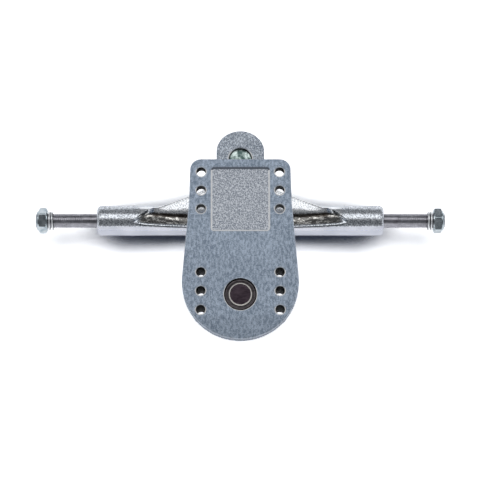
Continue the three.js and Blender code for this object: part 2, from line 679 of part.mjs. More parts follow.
// A hexagonal lock nut along +Z, with a bearing face below and a collar that holds a nylon ring.
function lockNut(size, boreR, start) {
  const hexStart = start + (size.face ?? 0);
  const hexEnd = hexStart + size.hex;
  const end = hexEnd + size.collar;
  const ring = nylonRing(boreR, end);
  const bevel = size.collar / 3;
  let body = hexagon(size.acrossFlats, hexStart, hexEnd, size.chamfer)
    .add(solidOf(disc(size.collarR, hexEnd - size.hex / 2, end, ROUND, 0, bevel)));
  if (size.face) body = body.add(solidOf(disc(size.faceR, start, hexStart + size.face)));
  const bore = turned([
    [0, start - OVERRUN], [boreR, start - OVERRUN], [boreR, ring.start - SEAT_GAP],
    [ring.outerR + SEAT_GAP / 2, ring.start - SEAT_GAP], [ring.outerR + SEAT_GAP / 2, end + OVERRUN], [0, end + OVERRUN],
  ]);
  return body.subtract(solidOf(bore));
}

function kingNutSize() {
  return { ...KING_NUT, hex: KING_NUT.height };
}

function kingNut() {
  const nut = lockNut(kingNutSize(), KING.radius + SEAT_GAP, kingStack().nut);
  return solidOf(laid(geometryOf(nut), down, kingTop));
}

function kingNutInsert() {
  const end = kingStack().nut + KING_NUT.height + KING_NUT.collar;
  const ring = nylonRing(KING.radius + SEAT_GAP, end);
  return solidOf(laid(disc(ring.outerR - SEAT_GAP / 2, ring.start, ring.end, ROUND, ring.innerR), down, kingTop));
}

// The distance from the barrel's centre, at an angle from the web's middle plane, to the shape that
// a belt round the barrel and the web's edge would have.
function beltReach(angle, barrelR, apart, edgeR) {
  const lean = Math.acos(Math.min(1, (barrelR - edgeR) / apart));
  const size = Math.abs(angle);
  if (size >= lean) return barrelR;
  if (size >= beltTangent(barrelR, apart, edgeR)) return barrelR / Math.cos(size - lean);
  return apart * Math.cos(size) + Math.sqrt(Math.max(0, edgeR ** 2 - (apart * Math.sin(size)) ** 2));
}

// The angle at which the belt leaves the web's edge, seen from the barrel's centre.
function beltTangent(barrelR, apart, edgeR) {
  const lean = Math.acos(Math.min(1, (barrelR - edgeR) / apart));
  return Math.atan2(edgeR * Math.sin(lean), apart + edgeR * Math.cos(lean));
}

// One cross-section of the hanger at a station along X, as [along the web, across it] pairs. It
// follows the belt, but between a rim and a lip on the deck side a pocket is scooped out. The rim
// starts beside the lip and slides round to the web's edge.
function hangerSection(x) {
  const along = Math.abs(x);
  const fromEnd = hangerHalf - along;
  const swell = THREE.MathUtils.smoothstep(fromEnd, 0, hangerHalf - HANGER.webStartX);
  let barrelR = HANGER.endR + (HANGER.midR - HANGER.endR) * swell;
  if (fromEnd < HANGER.endRound) {
    const share = 1 - fromEnd / HANGER.endRound;
    barrelR -= HANGER.endRound * (1 - Math.sqrt(1 - share * share));
  }
  const wayIn = Math.max(0, HANGER.webStartX - along);
  const inShare = wayIn / HANGER.webStartX;
  const towardsRing = Math.hypot(ringCentre.y - axleY, ringCentre.z - axleZ);
  const climb = HANGER.webFoot + HANGER.webRise * inShare + HANGER.webFlare * inShare ** 4;
  const edgeR = HANGER.webEdgeR;
  const apart = THREE.MathUtils.clamp(climb, barrelR - edgeR + WELD, towardsRing - edgeR / 2);
  const tangent = beltTangent(barrelR, apart, edgeR);
  const lean = Math.acos(Math.min(1, (barrelR - edgeR) / apart));
  const slidePower = 1.3;
  const slid = HANGER.rimStart * Math.max(0, 1 - wayIn / HANGER.rimRun) ** slidePower;
  const rimAngle = Math.max(tangent, slid);
  const lipAngle = HANGER.lipStart + HANGER.lipTurn * Math.sqrt(inShare);
  const depthShare = THREE.MathUtils.smoothstep(wayIn, 0, HANGER.pocketFade);
  const onBelt = (angle) => {
    const reach = beltReach(angle, barrelR, apart, edgeR);
    return [reach * Math.cos(angle), reach * Math.sin(angle)];
  };
  const mixed = (from, to, t) => [from[0] + (to[0] - from[0]) * t, from[1] + (to[1] - from[1]) * t];
  const points = [];
  const barrelSteps = 14;
  const sideSteps = 3;
  const edgeSteps = 6;
  const scoopSteps = 9;
  for (let i = 0; i <= barrelSteps; i += 1) {
    points.push(onBelt(lipAngle + (i / barrelSteps) * (2 * Math.PI - lean - lipAngle) - 2 * Math.PI));
  }
  for (let i = 1; i < sideSteps; i += 1) {
    points.push(mixed(onBelt(-lean), onBelt(-tangent), i / sideSteps));
  }
  for (let i = 0; i <= edgeSteps; i += 1) {
    const share = (1 - Math.cos((Math.PI * i) / edgeSteps)) / 2;
    points.push(onBelt(-tangent + (rimAngle + tangent) * share));
  }
  const rim = onBelt(rimAngle);
  const lip = onBelt(lipAngle);
  const floorNear = [lip[0] + barrelR / 5, HANGER.pocketFloor];
  const floorFar = [Math.max(floorNear[0], apart * HANGER.pocketFloorShare), HANGER.pocketFloor];
  for (let i = 1; i < scoopSteps; i += 1) {
    const t = i / scoopSteps;
    const a = mixed(rim, floorFar, t);
    const b = mixed(floorFar, floorNear, t);
    const c = mixed(floorNear, lip, t);
    const scooped = mixed(mixed(a, b, t), mixed(b, c, t), t);
    points.push(mixed(onBelt(rimAngle + (lipAngle - rimAngle) * t), scooped, depthShare));
  }
  return points;
}

function hangerBody() {
  const towards = new THREE.Vector2(ringCentre.y - axleY, ringCentre.z - axleZ).normalize();
  const endSteps = 3;
  const stations = [];
  for (let i = 0; i < endSteps; i += 1) stations.push(hangerHalf - HANGER.endRound * (i / endSteps));
  stations.push(hangerHalf - HANGER.endRound);
  const webSteps = 15;
  const crowding = 1.4;              // stations lie closer together at the web's start
  for (let i = 0; i <= webSteps; i += 1) stations.push(HANGER.webStartX * (1 - (i / webSteps) ** crowding));
  const xs = [...stations.map((x) => -x), ...stations.slice(0, -1).reverse()];
  const rows = xs.map((x) => hangerSection(x).map(([u, v]) => new THREE.Vector3(
    x,
    axleY + u * towards.x - v * towards.y,
    axleZ + u * towards.y + v * towards.x,
  )));
  const around = rows[0].length;
  const positions = rows.flat().flatMap((p) => [p.x, p.y, p.z]);
  const index = [];
  for (let i = 0; i + 1 < rows.length; i += 1) {
    for (let j = 0; j < around; j += 1) {
      const a = i * around + j;
      const b = i * around + ((j + 1) % around);
      index.push(a, b, a + around, b, b + around, a + around);
    }
  }
  for (const end of [0, rows.length - 1]) {
    const centre = positions.length / 3;
    positions.push(xs[end], axleY, axleZ);
    for (let j = 0; j < around; j += 1) {
      const a = end * around + j;
      const b = end * around + ((j + 1) % around);
      index.push(...(end === 0 ? [centre, b, a] : [centre, a, b]));
    }
  }
  const geometry = new THREE.BufferGeometry();
  geometry.setAttribute('position', new THREE.BufferAttribute(new Float32Array(positions), 3));
  geometry.setIndex(index);
  return solidOf(geometry);
}

function hangerStem() {
  const length = steerLine.length();
  const profile = [[0, length], [HANGER.rootR, length], [HANGER.rootR, length / 2],
    [HANGER.stemR, 2 * PIVOT_CUP.mouth], [HANGER.stemR, HANGER.tipR / 2]];
  const tipSteps = 7;
  for (let i = 1; i <= tipSteps; i += 1) {
    const angle = HANGER.tipStart - (i / tipSteps) * HANGER.tipTurn;
    profile.push([HANGER.tipR * Math.cos(angle), HANGER.tipR * Math.sin(angle)]);
  }
  profile[profile.length - 1][0] = 0;
  return solidOf(laid(turned(profile), steerOut, pivotPoint));
}

// The rib that joins the stem, the ring and the barrel in the truck's middle plane.
function hangerGusset() {
  const stemAt = pivotPoint.clone().addScaledVector(steerLine, HANGER.gussetShare);
  const kneeY = (stemAt.y + axleY) / 2;
  const kneeZ = (stemAt.z + axleZ) / 2;
  return solidOf(carriedAcross([
    [stemAt.y, stemAt.z], [ringCentre.y, ringCentre.z], [axleY, axleZ],
    [axleY - HANGER.midR / 2, axleZ], [kneeY + HANGER.midR / 4, kneeZ],
  ], HANGER.gussetHalf, HANGER.edge));
}

function hanger() {
  const low = KING.ring - HANGER.ringHalf;
  const high = KING.ring + HANGER.ringHalf;
  const ring = laid(disc(HANGER.ringR, low, high, FINE, 0, HANGER.edge), down, kingTop);
  const upperSeat = disc(HANGER.seatR, low - 2 * HANGER.ringR, KING.ring - HANGER.seatHalf, FINE);
  const lowerSeat = disc(HANGER.seatR, KING.ring + HANGER.seatHalf, high + 2 * HANGER.ringR, FINE);
  const hole = disc(HANGER.holeR, low - OVERRUN, high + OVERRUN);
  let body = hangerBody().add(hangerStem()).add(hangerGusset()).add(solidOf(ring));
  for (const cut of [upperSeat, lowerSeat, hole]) body = body.subtract(solidOf(laid(cut, down, kingTop)));
  const bore = disc(AXLE.radius + SEAT_GAP, -2 * hangerHalf, 2 * hangerHalf)
    .rotateY(Math.PI / 2).translate(0, axleY, axleZ);
  return body.subtract(solidOf(bore));
}

function axle() {
  return solidOf(disc(AXLE.radius, -AXLE_LENGTH / 2, AXLE_LENGTH / 2, ROUND, 0, AXLE.chamfer)
    .rotateY(Math.PI / 2).translate(0, axleY, axleZ));
}

// A piece made along +Z outwards from the truck's middle, set on the left or the right stub.
function onStub(geometry, side, roll = 0) {
  return geometry.rotateZ(roll).rotateY(side * Math.PI / 2).translate(0, axleY, axleZ);
}

function axleNut(side, roll) {
  const nut = lockNut(AXLE_NUT, AXLE.radius + SEAT_GAP, axleNutX);
  return solidOf(onStub(geometryOf(nut), side, roll));
}

function axleNutInsert(side) {
  const end = axleNutX + AXLE_NUT.face + AXLE_NUT.hex + AXLE_NUT.collar;
  const ring = nylonRing(AXLE.radius + SEAT_GAP, end);
  return solidOf(onStub(disc(ring.outerR - SEAT_GAP / 2, ring.start, ring.end, ROUND, ring.innerR), side));
}

function speedRing(side, startX) {
  return solidOf(onStub(disc(SPEED_RING.outerR, startX, startX + SPEED_RING.thickness, ROUND,
    AXLE.radius + SEAT_GAP), side));
}

const finish = {
  plate: { color: 0x8a97a7, roughness: 0.5, metalness: 0.75 },
  arm: { color: 0x9ca5b0, roughness: 0.6, metalness: 0.7 },
  polished: { color: 0xdfe2e8, roughness: 0.12, metalness: 1 },
  steel: { color: 0xb9c3c8, roughness: 0.3, metalness: 0.9 },
  axle: { color: 0x6c6c70, roughness: 0.4, metalness: 0.9 },
  dark: { color: 0x3c3438, roughness: 0.5, metalness: 0.7 },
  bronze: { color: 0xb08d57, roughness: 0.4, metalness: 0.9 },
  urethane: { color: 0xd8d9d6, roughness: 0.5, metalness: 0 },
  cup: { color: 0x2a2a2c, roughness: 0.7, metalness: 0 },
  nylon: { color: 0x3f6fa8, roughness: 0.5, metalness: 0 },
};

function piece(name, solid, look) {
  const mesh = new THREE.Mesh(geometryOf(solid), new THREE.MeshStandardMaterial(look));
  mesh.name = name;
  return mesh;
}

const layers = thrustLayers();
const stack = kingStack();
const truck = new THREE.Group();
const plateGroup = new THREE.Group();
plateGroup.add(
  piece('base_plate', basePlate(), finish.plate),
  piece('pivot_pin', pivotPin(), finish.dark),
  piece('pivot_collar', pivotCollar(), finish.dark),
  piece('thrust_washer_upper', thrustWasher(layers.upperTop), finish.steel),
  piece('thrust_cage', thrustCage(), finish.bronze),
  piece('return_spring', returnSpring(), finish.steel),
  piece('spring_anchor', springAnchor(), finish.steel),
  piece('pivot_washer', pivotWasher(), finish.steel),
  piece('pivot_nut', pivotNut(), finish.steel),
);
for (let i = 0; i < THRUST.rollers; i += 1) {
  plateGroup.add(piece(`thrust_roller_${String(i + 1).padStart(2, '0')}`, thrustRoller(i), finish.steel));
}
const armGroup = new THREE.Group();
armGroup.add(
  piece('swing_arm', swingArm(), finish.arm),
  piece('thrust_washer_lower', thrustWasher(layers.lowerTop), finish.steel),
  piece('hub_bush_upper', hubBush(hubBushTops().upper), finish.bronze),
  piece('hub_bush_lower', hubBush(hubBushTops().lower), finish.bronze),
  piece('pivot_cup', pivotCup(), finish.cup),
  piece('kingpin', kingpin(), finish.steel),
  piece('kingpin_washer_upper', kingWasher(stack.upperWasher, KING_WASHER.upperR, true), finish.steel),
  piece('bushing_upper', barrelBushing(), finish.urethane),
  piece('bushing_lower', coneBushing(), finish.urethane),
  piece('kingpin_washer_lower', kingWasher(stack.lowerWasher, KING_WASHER.lowerR, false), finish.steel),
  piece('kingpin_nut', kingNut(), finish.steel),
  piece('kingpin_nut_insert', kingNutInsert(), finish.nylon),
);
const hangerGroup = new THREE.Group();
hangerGroup.add(
  piece('hanger', hanger(), finish.polished),
  piece('axle', axle(), finish.axle),
);
for (const [word, side] of [['left', -1], ['right', 1]]) {
  hangerGroup.add(
    piece(`axle_nut_${word}`, axleNut(side, NUT_ROLLS[word]), finish.steel),
    piece(`axle_nut_insert_${word}`, axleNutInsert(side), finish.nylon),
    piece(`speed_ring_${word}_inner`, speedRing(side, innerRingX), finish.steel),
    piece(`speed_ring_${word}_outer`, speedRing(side, outerRingX), finish.steel),
  );
}
truck.add(plateGroup, armGroup, hangerGroup);

export default truck;
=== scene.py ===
import json
import math

import bmesh
import bpy
import numpy as np
from mathutils import Matrix, Vector


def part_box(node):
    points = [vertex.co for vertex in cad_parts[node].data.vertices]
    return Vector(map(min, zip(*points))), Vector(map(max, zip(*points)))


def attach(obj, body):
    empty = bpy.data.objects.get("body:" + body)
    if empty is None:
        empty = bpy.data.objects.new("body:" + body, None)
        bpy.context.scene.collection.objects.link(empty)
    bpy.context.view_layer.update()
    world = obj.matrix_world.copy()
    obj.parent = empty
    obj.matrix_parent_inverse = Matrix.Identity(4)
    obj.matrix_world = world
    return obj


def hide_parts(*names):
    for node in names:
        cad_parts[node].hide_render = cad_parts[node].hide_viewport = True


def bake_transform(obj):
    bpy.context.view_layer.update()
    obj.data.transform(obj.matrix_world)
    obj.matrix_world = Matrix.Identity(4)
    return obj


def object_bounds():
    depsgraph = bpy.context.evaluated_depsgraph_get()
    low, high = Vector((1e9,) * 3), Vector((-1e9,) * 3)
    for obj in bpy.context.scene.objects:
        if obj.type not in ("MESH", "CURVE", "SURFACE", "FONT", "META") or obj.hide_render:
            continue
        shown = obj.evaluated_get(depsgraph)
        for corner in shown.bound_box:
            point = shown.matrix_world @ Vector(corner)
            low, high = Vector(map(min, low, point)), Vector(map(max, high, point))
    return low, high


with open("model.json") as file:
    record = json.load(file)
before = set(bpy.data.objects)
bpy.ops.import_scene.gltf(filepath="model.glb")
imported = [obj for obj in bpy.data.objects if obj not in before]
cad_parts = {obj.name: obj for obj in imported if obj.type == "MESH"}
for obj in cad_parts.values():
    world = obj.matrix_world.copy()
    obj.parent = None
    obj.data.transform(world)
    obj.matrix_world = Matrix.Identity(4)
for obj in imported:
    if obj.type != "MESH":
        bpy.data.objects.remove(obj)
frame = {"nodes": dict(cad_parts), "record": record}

CAD_BOX = [[float(value) for value in corner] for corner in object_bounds()]

bl_info = {
    "name": "Swing arm skateboard truck",
    "version": (1, 0, 0),
    "blender": (4, 5, 0),
    "location": "View3D > Sidebar > Truck",
    "description": "Dresses a surf-style skateboard truck: plate, swing arm, hanger, axle and studio",
    "category": "Add Mesh",
}

MM = 0.001
TURN = 2 * math.pi
DEG = math.pi / 180
OVERRUN = 2.0            # how far a cutter runs past the face that it cuts, in millimetres
BEND_STEP = 3.0          # the longest straight side of an outline that bends, in millimetres
PANEL_BLUR, EDGE_BLUR = 0.0003, 0.00003   # half the widths over which masks fade, in metres
ADD, CUT = "UNION", "DIFFERENCE"


def box_mm(node):
    """A CAD node's lowest and highest corner in millimetres."""
    low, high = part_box(node)
    return np.array(low) / MM, np.array(high) / MM


def middle(node):
    """The middle of a CAD node's box in millimetres."""
    low, high = box_mm(node)
    return (low + high) / 2


PIN_AT = middle("pivot_pin")
KING_AT = middle("kingpin")
AXLE_AT = middle("axle")
PIVOT_AT = np.array(frame["record"]["behaviour"]["joints"][2]["pos_m"]) / MM
STEER = np.array(frame["record"]["behaviour"]["joints"][2]["axis"])
ARM_TOP = -20.0
RING_AT = np.array([0, KING_AT[1], ARM_TOP - 30.0])
SLOPE = (RING_AT - AXLE_AT)[1:] / np.linalg.norm((RING_AT - AXLE_AT)[1:])   # up the web, in Y and Z
ACROSS = np.array([[0, 0, 1], [1, 0, 0], [0, 1, 0]])   # carries X and Y to Y and Z, and Z to X
Z_AXIS = Vector((0, 0, 1))


# Surfaces

class Shell:
    """A closed surface in millimetres: points, four-sided faces and flat ends, faces outwards."""

    def __init__(self, points, quads, ends=()):
        self.points = np.asarray(points, float).reshape(-1, 3)
        self.quads = np.asarray(quads, int).reshape(-1, 4)
        self.ends = [np.asarray(end, int) for end in ends]
        if self.volume() < 0:
            self.quads = self.quads[:, ::-1]
            self.ends = [end[::-1] for end in self.ends]

    def volume(self):
        """Sixth of the sum of corner triple products, each face cut into a fan of triangles."""
        p = self.points
        total = 0.0
        a, b, c, d = (p[self.quads[:, k]] for k in range(4))
        total += np.einsum("ij,ij->", a, np.cross(b, c)) + np.einsum("ij,ij->", a, np.cross(c, d))
        for end in self.ends:
            first = p[end[0]]
            total += np.sum(np.cross(p[end[1:-1]], p[end[2:]]) @ first)
        return total / 6

    def moved(self, turn=None, shift=(0, 0, 0)):
        """The shell turned by a 3 by 3 matrix and then shifted."""
        points = self.points if turn is None else self.points @ np.asarray(turn).T
        return Shell(points + np.asarray(shift), self.quads, self.ends)


def turn_about(axis, angle):
    return np.array(Matrix.Rotation(angle, 3, Vector(axis)))


def turn_to(direction):
    """The turn that carries +Z to a direction."""
    return np.array(Z_AXIS.rotation_difference(Vector(direction)).to_matrix())


def ring_shell(rings, looped=False):
    """A shell from rings of points (rows by columns by 3). Each ring is closed. The rows are joined in
    a loop, or the first and last ring are closed by flat ends."""
    rows, cols = rings.shape[:2]
    i = np.arange(rows if looped else rows - 1)[:, None]
    j = np.arange(cols)[None, :]
    here, over = (i % rows) * cols, ((i + 1) % rows) * cols
    right = (j + 1) % cols
    quads = np.stack([here + j, here + right, over + right, over + j], -1)
    ends = () if looped else (np.arange(cols)[::-1], np.arange(cols) + (rows - 1) * cols)
    return Shell(rings, quads, ends)


def parabola(a, corner, c, t):
    """The points a(1-t)^2 + 2 corner t(1-t) + c t^2, from a to c along the lines to the corner."""
    return (1 - t) ** 2 * a + 2 * t * (1 - t) * corner + t ** 2 * c


def softened(points, radius, looped=False, steps=4):
    """A polygon whose corners are short parabolas that start and end `radius` before and after them."""
    p = np.asarray(points, float)
    ends = []
    for side in (np.roll(p, 1, 0) - p, np.roll(p, -1, 0) - p):
        length = np.linalg.norm(side, axis=1, keepdims=True)
        ends.append(p + side / length * np.minimum(radius, 0.45 * length))
    t = np.linspace(0, 1, steps)[None, :, None]
    curves = parabola(ends[0][:, None], p[:, None], ends[1][:, None], t)
    if looped:
        return curves.reshape(-1, 2)
    return np.vstack([p[:1], curves[1:-1].reshape(-1, 2), p[-1:]])


def lathe(profile, sides=96, looped=False, edge=0.15):
    """A profile of [radius, height] pairs turned about +Z, its corners softened. looped closes the
    profile on itself, as a washer's does."""
    profile = softened(profile, edge, looped)
    angle = np.linspace(0, TURN, sides, endpoint=False)
    r, z = profile[:, :1], profile[:, 1:]
    rings = np.stack([r * np.cos(angle), r * np.sin(angle), z + 0 * angle], -1)
    return ring_shell(rings, looped)


def band(outer, inner):
    """A plain washer's profile, as a function of its lowest and highest height."""
    return lambda low, high: [[inner, low], [outer, low], [outer, high], [inner, high]]


def washer(outer, inner, low, high, sides=96, edge=0.15):
    return lathe(band(outer, inner)(low, high), sides, True, edge)


def rod(radius, low, high, sides=64):
    return lathe([[radius, low], [radius, high]], sides)


def outward(outline):
    """Unit normals of a closed outline that runs anticlockwise."""
    along = np.roll(outline, -1, 0) - np.roll(outline, 1, 0)
    normal = np.stack([along[:, 1], -along[:, 0]], 1)
    return normal / np.linalg.norm(normal, axis=1, keepdims=True)


def carried(outline, profile):
    """A profile of [inset, height] pairs carried along a closed outline in X and Y: each ring is the
    outline drawn in along its normals by the inset, at that height."""
    outline = np.asarray(outline)
    profile = np.asarray(profile, float)
    rings = outline[None] - profile[:, :1, None] * outward(outline)[None]
    heights = np.broadcast_to(profile[:, 1][:, None, None], rings.shape[:2] + (1,))
    return ring_shell(np.concatenate([rings, heights], -1))


def round_edge(low, high, radius, steps=4):
    """A wall between two heights as [inset, height] pairs with quarter round edges."""
    a = np.linspace(0, math.pi / 2, steps + 1)
    bottom = np.stack([radius * (1 - np.sin(a)), low + radius * (1 - np.cos(a))], 1)
    top = np.stack([bottom[::-1, 0], high - (bottom[::-1, 1] - low)], 1)
    return np.vstack([bottom, top])


def arc(centre, radius, start, end, steps, squeeze=1.0):
    a = np.linspace(start, end, steps)
    return np.stack([centre[0] + radius * np.cos(a), centre[1] + squeeze * radius * np.sin(a)], 1)


def rounded_box(box, steps=9):
    """A rounded box's outline, its long sides cut finely enough to bend."""
    half_x, low, high, corner = (box[key] for key in ("half_x", "low", "high", "corner"))
    quarter = math.pi / 2
    corners = [(half_x, high), (-half_x, high), (-half_x, low), (half_x, low)]
    return resampled(np.vstack([
        arc((x - math.copysign(corner, x), y - math.copysign(corner, y - (low + high) / 2)),
            corner, k * quarter, (k + 1) * quarter, steps)
        for k, (x, y) in enumerate(corners)
    ]), BEND_STEP)


def resampled(outline, step):
    """A closed outline with its long sides cut into pieces of about `step`, so that it can bend."""
    following = np.roll(outline, -1, 0)
    parts = []
    for a, b in zip(outline, following):
        count = max(1, int(np.linalg.norm(b - a) / step))
        parts.append(a + (b - a) * (np.arange(count) / count)[:, None])
    return np.vstack(parts)


def linked(name, data):
    """A new object of the scene, at the origin."""
    obj = bpy.data.objects.new(name, data)
    bpy.context.scene.collection.objects.link(obj)
    return obj


def new_object(name, *shells):
    """A Blender object at the origin that holds one or more shells, in metres."""
    points, faces, start = [], [], 0
    for shell in shells:
        points.append(shell.points * MM)
        faces += (shell.quads + start).tolist() + [(end + start).tolist() for end in shell.ends]
        start += len(shell.points)
    mesh = bpy.data.meshes.new(name)
    mesh.from_pydata(np.vstack(points).tolist(), [], faces)
    return linked(name, mesh)


def bake_modifiers(obj):
    """Puts the object's modifiers into its mesh."""
    view = bpy.context.evaluated_depsgraph_get()
    finished = bpy.data.meshes.new_from_object(obj.evaluated_get(view))
    old = obj.data
    obj.modifiers.clear()
    obj.data = finished
    bpy.data.meshes.remove(old)


def carve(obj, *steps):
    """Adds or cuts groups of shells: each step is ADD or CUT, then the group."""
    tools = []
    for number, (how, *shells) in enumerate(steps):
        tool = new_object(f"tool_{number}", *shells)
        tools.append(tool)
        change = obj.modifiers.new(f"step_{number}", "BOOLEAN")
        change.operation = how
        change.object = tool
        change.solver = "EXACT"
        change.use_self = how == ADD or len(shells) > 1
    bake_modifiers(obj)
    for tool in tools:
        mesh = tool.data
        bpy.data.objects.remove(tool)
        bpy.data.meshes.remove(mesh)


def shade(obj, crease=32):
    """Welds doubles, then shades smooth with an edge kept sharp where its faces meet steeply."""
    work = bmesh.new()
    work.from_mesh(obj.data)
    bmesh.ops.remove_doubles(work, verts=work.verts, dist=0.002 * MM)
    bmesh.ops.dissolve_degenerate(work, edges=work.edges, dist=0.002 * MM)
    for face in work.faces:
        face.smooth = True
    for edge in work.edges:
        edge.smooth = len(edge.link_faces) == 2 and edge.calc_face_angle(0) < crease * DEG
    work.to_mesh(obj.data)
    work.free()


def finish_piece(obj, body, slot, material, *nodes, crease=32):
    """Shades a piece, gives it its material, ties it to its body, and hides the CAD nodes that it
    stands for. The slot is not used. A piece with body None is left without a body."""
    shade(obj, crease)
    obj.data.materials.clear()
    obj.data.materials.append(material)
    if body:
        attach(obj, body)
    if nodes:
        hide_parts(*nodes)
    return obj


def turned(name, line, node, profile, body, slot, material, sides=96, looped=True, edge=0.2):
    """A piece that stands for a CAD node: a profile turned about the upright line through a point.
    The profile is a function of the node's lowest and highest height."""
    low, high = box_mm(node)
    shell = lathe(profile(low[2], high[2]), sides, looped, edge).moved(shift=(0, line[1], 0))
    return finish_piece(new_object(name, shell), body, slot, material, node)


# Shader maths

class Value:
    """A shader socket that takes part in Python sums: an operator adds a Math node."""

    def __init__(self, recipe, socket):
        self.recipe = recipe
        self.socket = socket

    def _with(self, operation, *others):
        return self.recipe.node("ShaderNodeMath", {"operation": operation}, dict(enumerate((self, *others))))

    def __add__(self, other):
        return self._with("ADD", other)

    def __mul__(self, other):
        return self._with("MULTIPLY", other)

    def __sub__(self, other):
        return self._with("SUBTRACT", other)

    def __rsub__(self, other):
        return self.recipe.node("ShaderNodeMath", {"operation": "SUBTRACT"}, {0: other, 1: self})

    def __pow__(self, other):
        return self._with("POWER", other)

    def __truediv__(self, other):
        return self._with("DIVIDE", other)

    __radd__ = __add__
    __rmul__ = __mul__

    def larger(self, other):
        return self._with("MAXIMUM", other)

    def size(self):
        return self._with("ABSOLUTE")

    def wrapped(self):
        """The part after the decimal point."""
        return self._with("FRACT")

    def within(self, low, high, blur=0.00006):
        """1 between two values and 0 outside them."""
        return self.ramp(low - blur, low + blur) * (1 - self.ramp(high - blur, high + blur))

    def ramp(self, low, high):
        """0 below low, 1 above high, and smooth between."""
        return self.recipe.node("ShaderNodeMapRange", {"interpolation_type": "SMOOTHSTEP"},
                                {"Value": self, "From Min": low, "From Max": high})


class Recipe:
    """A material under construction."""

    def __init__(self, name):
        self.material = bpy.data.materials.new(name)
        self.material.use_nodes = True
        self.tree = self.material.node_tree
        self.surface = self.tree.nodes["Principled BSDF"]

    def node(self, kind, settings=None, inputs=None, output=0):
        """A node of one type: its settings first, then the values or links of its sockets."""
        new = self.tree.nodes.new(kind)
        for key, value in (settings or {}).items():
            setattr(new, key, value)
        for key, value in (inputs or {}).items():
            self.feed(new.inputs[key], value)
        return Value(self, new.outputs[output])

    def feed(self, socket, value):
        """Links a Value to a socket, or sets a number, vector or colour on it."""
        if isinstance(value, Value):
            self.tree.links.new(value.socket, socket)
        elif hasattr(socket.default_value, "__len__"):
            value = tuple(value)
            socket.default_value = value + (1,) * (len(socket.default_value) - len(value))
        else:
            socket.default_value = value

    def place(self, scale=(1, 1, 1), turn=(0, 0, 0)):
        """Object coordinates, turned and scaled."""
        raw = self.node("ShaderNodeTexCoord", output=3)
        return self.node("ShaderNodeMapping", {"vector_type": "POINT"},
                         {"Vector": raw, "Rotation": turn, "Scale": scale})

    def axes(self):
        """X, Y and Z as three Values."""
        raw = self.node("ShaderNodeTexCoord", output=3)
        split = self.node("ShaderNodeSeparateXYZ", inputs={0: raw}).socket.node
        return [Value(self, socket) for socket in split.outputs]

    def from_axis(self, x, y):
        """The distance from a line, by the two ways across it."""
        return (x * x + y * y) ** 0.5

    def noise(self, scale, detail=3.0, rough=0.55, turn=(0, 0, 0)):
        """Noise with one scale, or with a scale for each axis."""
        if isinstance(scale, tuple):
            where, scale = self.place(scale, turn), 1.0
        else:
            where = self.place()
        return self.node("ShaderNodeTexNoise", inputs={
            "Vector": where, "Scale": scale, "Detail": detail, "Roughness": rough})

    def sand(self):
        """The grains and pits of a blasted casting."""
        grain = self.noise(1800.0, 2, 0.6)
        return grain, self.node("ShaderNodeTexVoronoi", inputs={"Vector": self.place(), "Scale": 1400.0})

    def blend(self, share, first, second):
        """A colour mix."""
        mix = self.tree.nodes.new("ShaderNodeMix")
        mix.data_type = "RGBA"
        for number, value in ((0, share), (6, first), (7, second)):
            self.feed(mix.inputs[number], value)
        return Value(self, mix.outputs[2])

    def bump(self, height, strength, distance):
        return self.node("ShaderNodeBump", inputs={
            "Height": height, "Strength": strength, "Distance": distance})

    def done(self, colour, rough, metallic, normal=None):
        """The material, with its surface's sockets fed."""
        for key, value in (("Base Color", colour), ("Roughness", rough), ("Metallic", metallic)):
            self.feed(self.surface.inputs[key], value)
        if normal is not None:
            self.feed(self.surface.inputs["Normal"], normal)
        return self.material


GRAIN_LIMIT = 36.6 * DEG    # where the hammered grain ends on the barrel


def lin(*rgb):
    """A colour given as 0 to 255 screen values, as linear light."""
    c = np.array(rgb) / 255
    return tuple(float(v) for v in np.where(c <= 0.04045, c / 12.92, ((c + 0.055) / 1.055) ** 2.4))


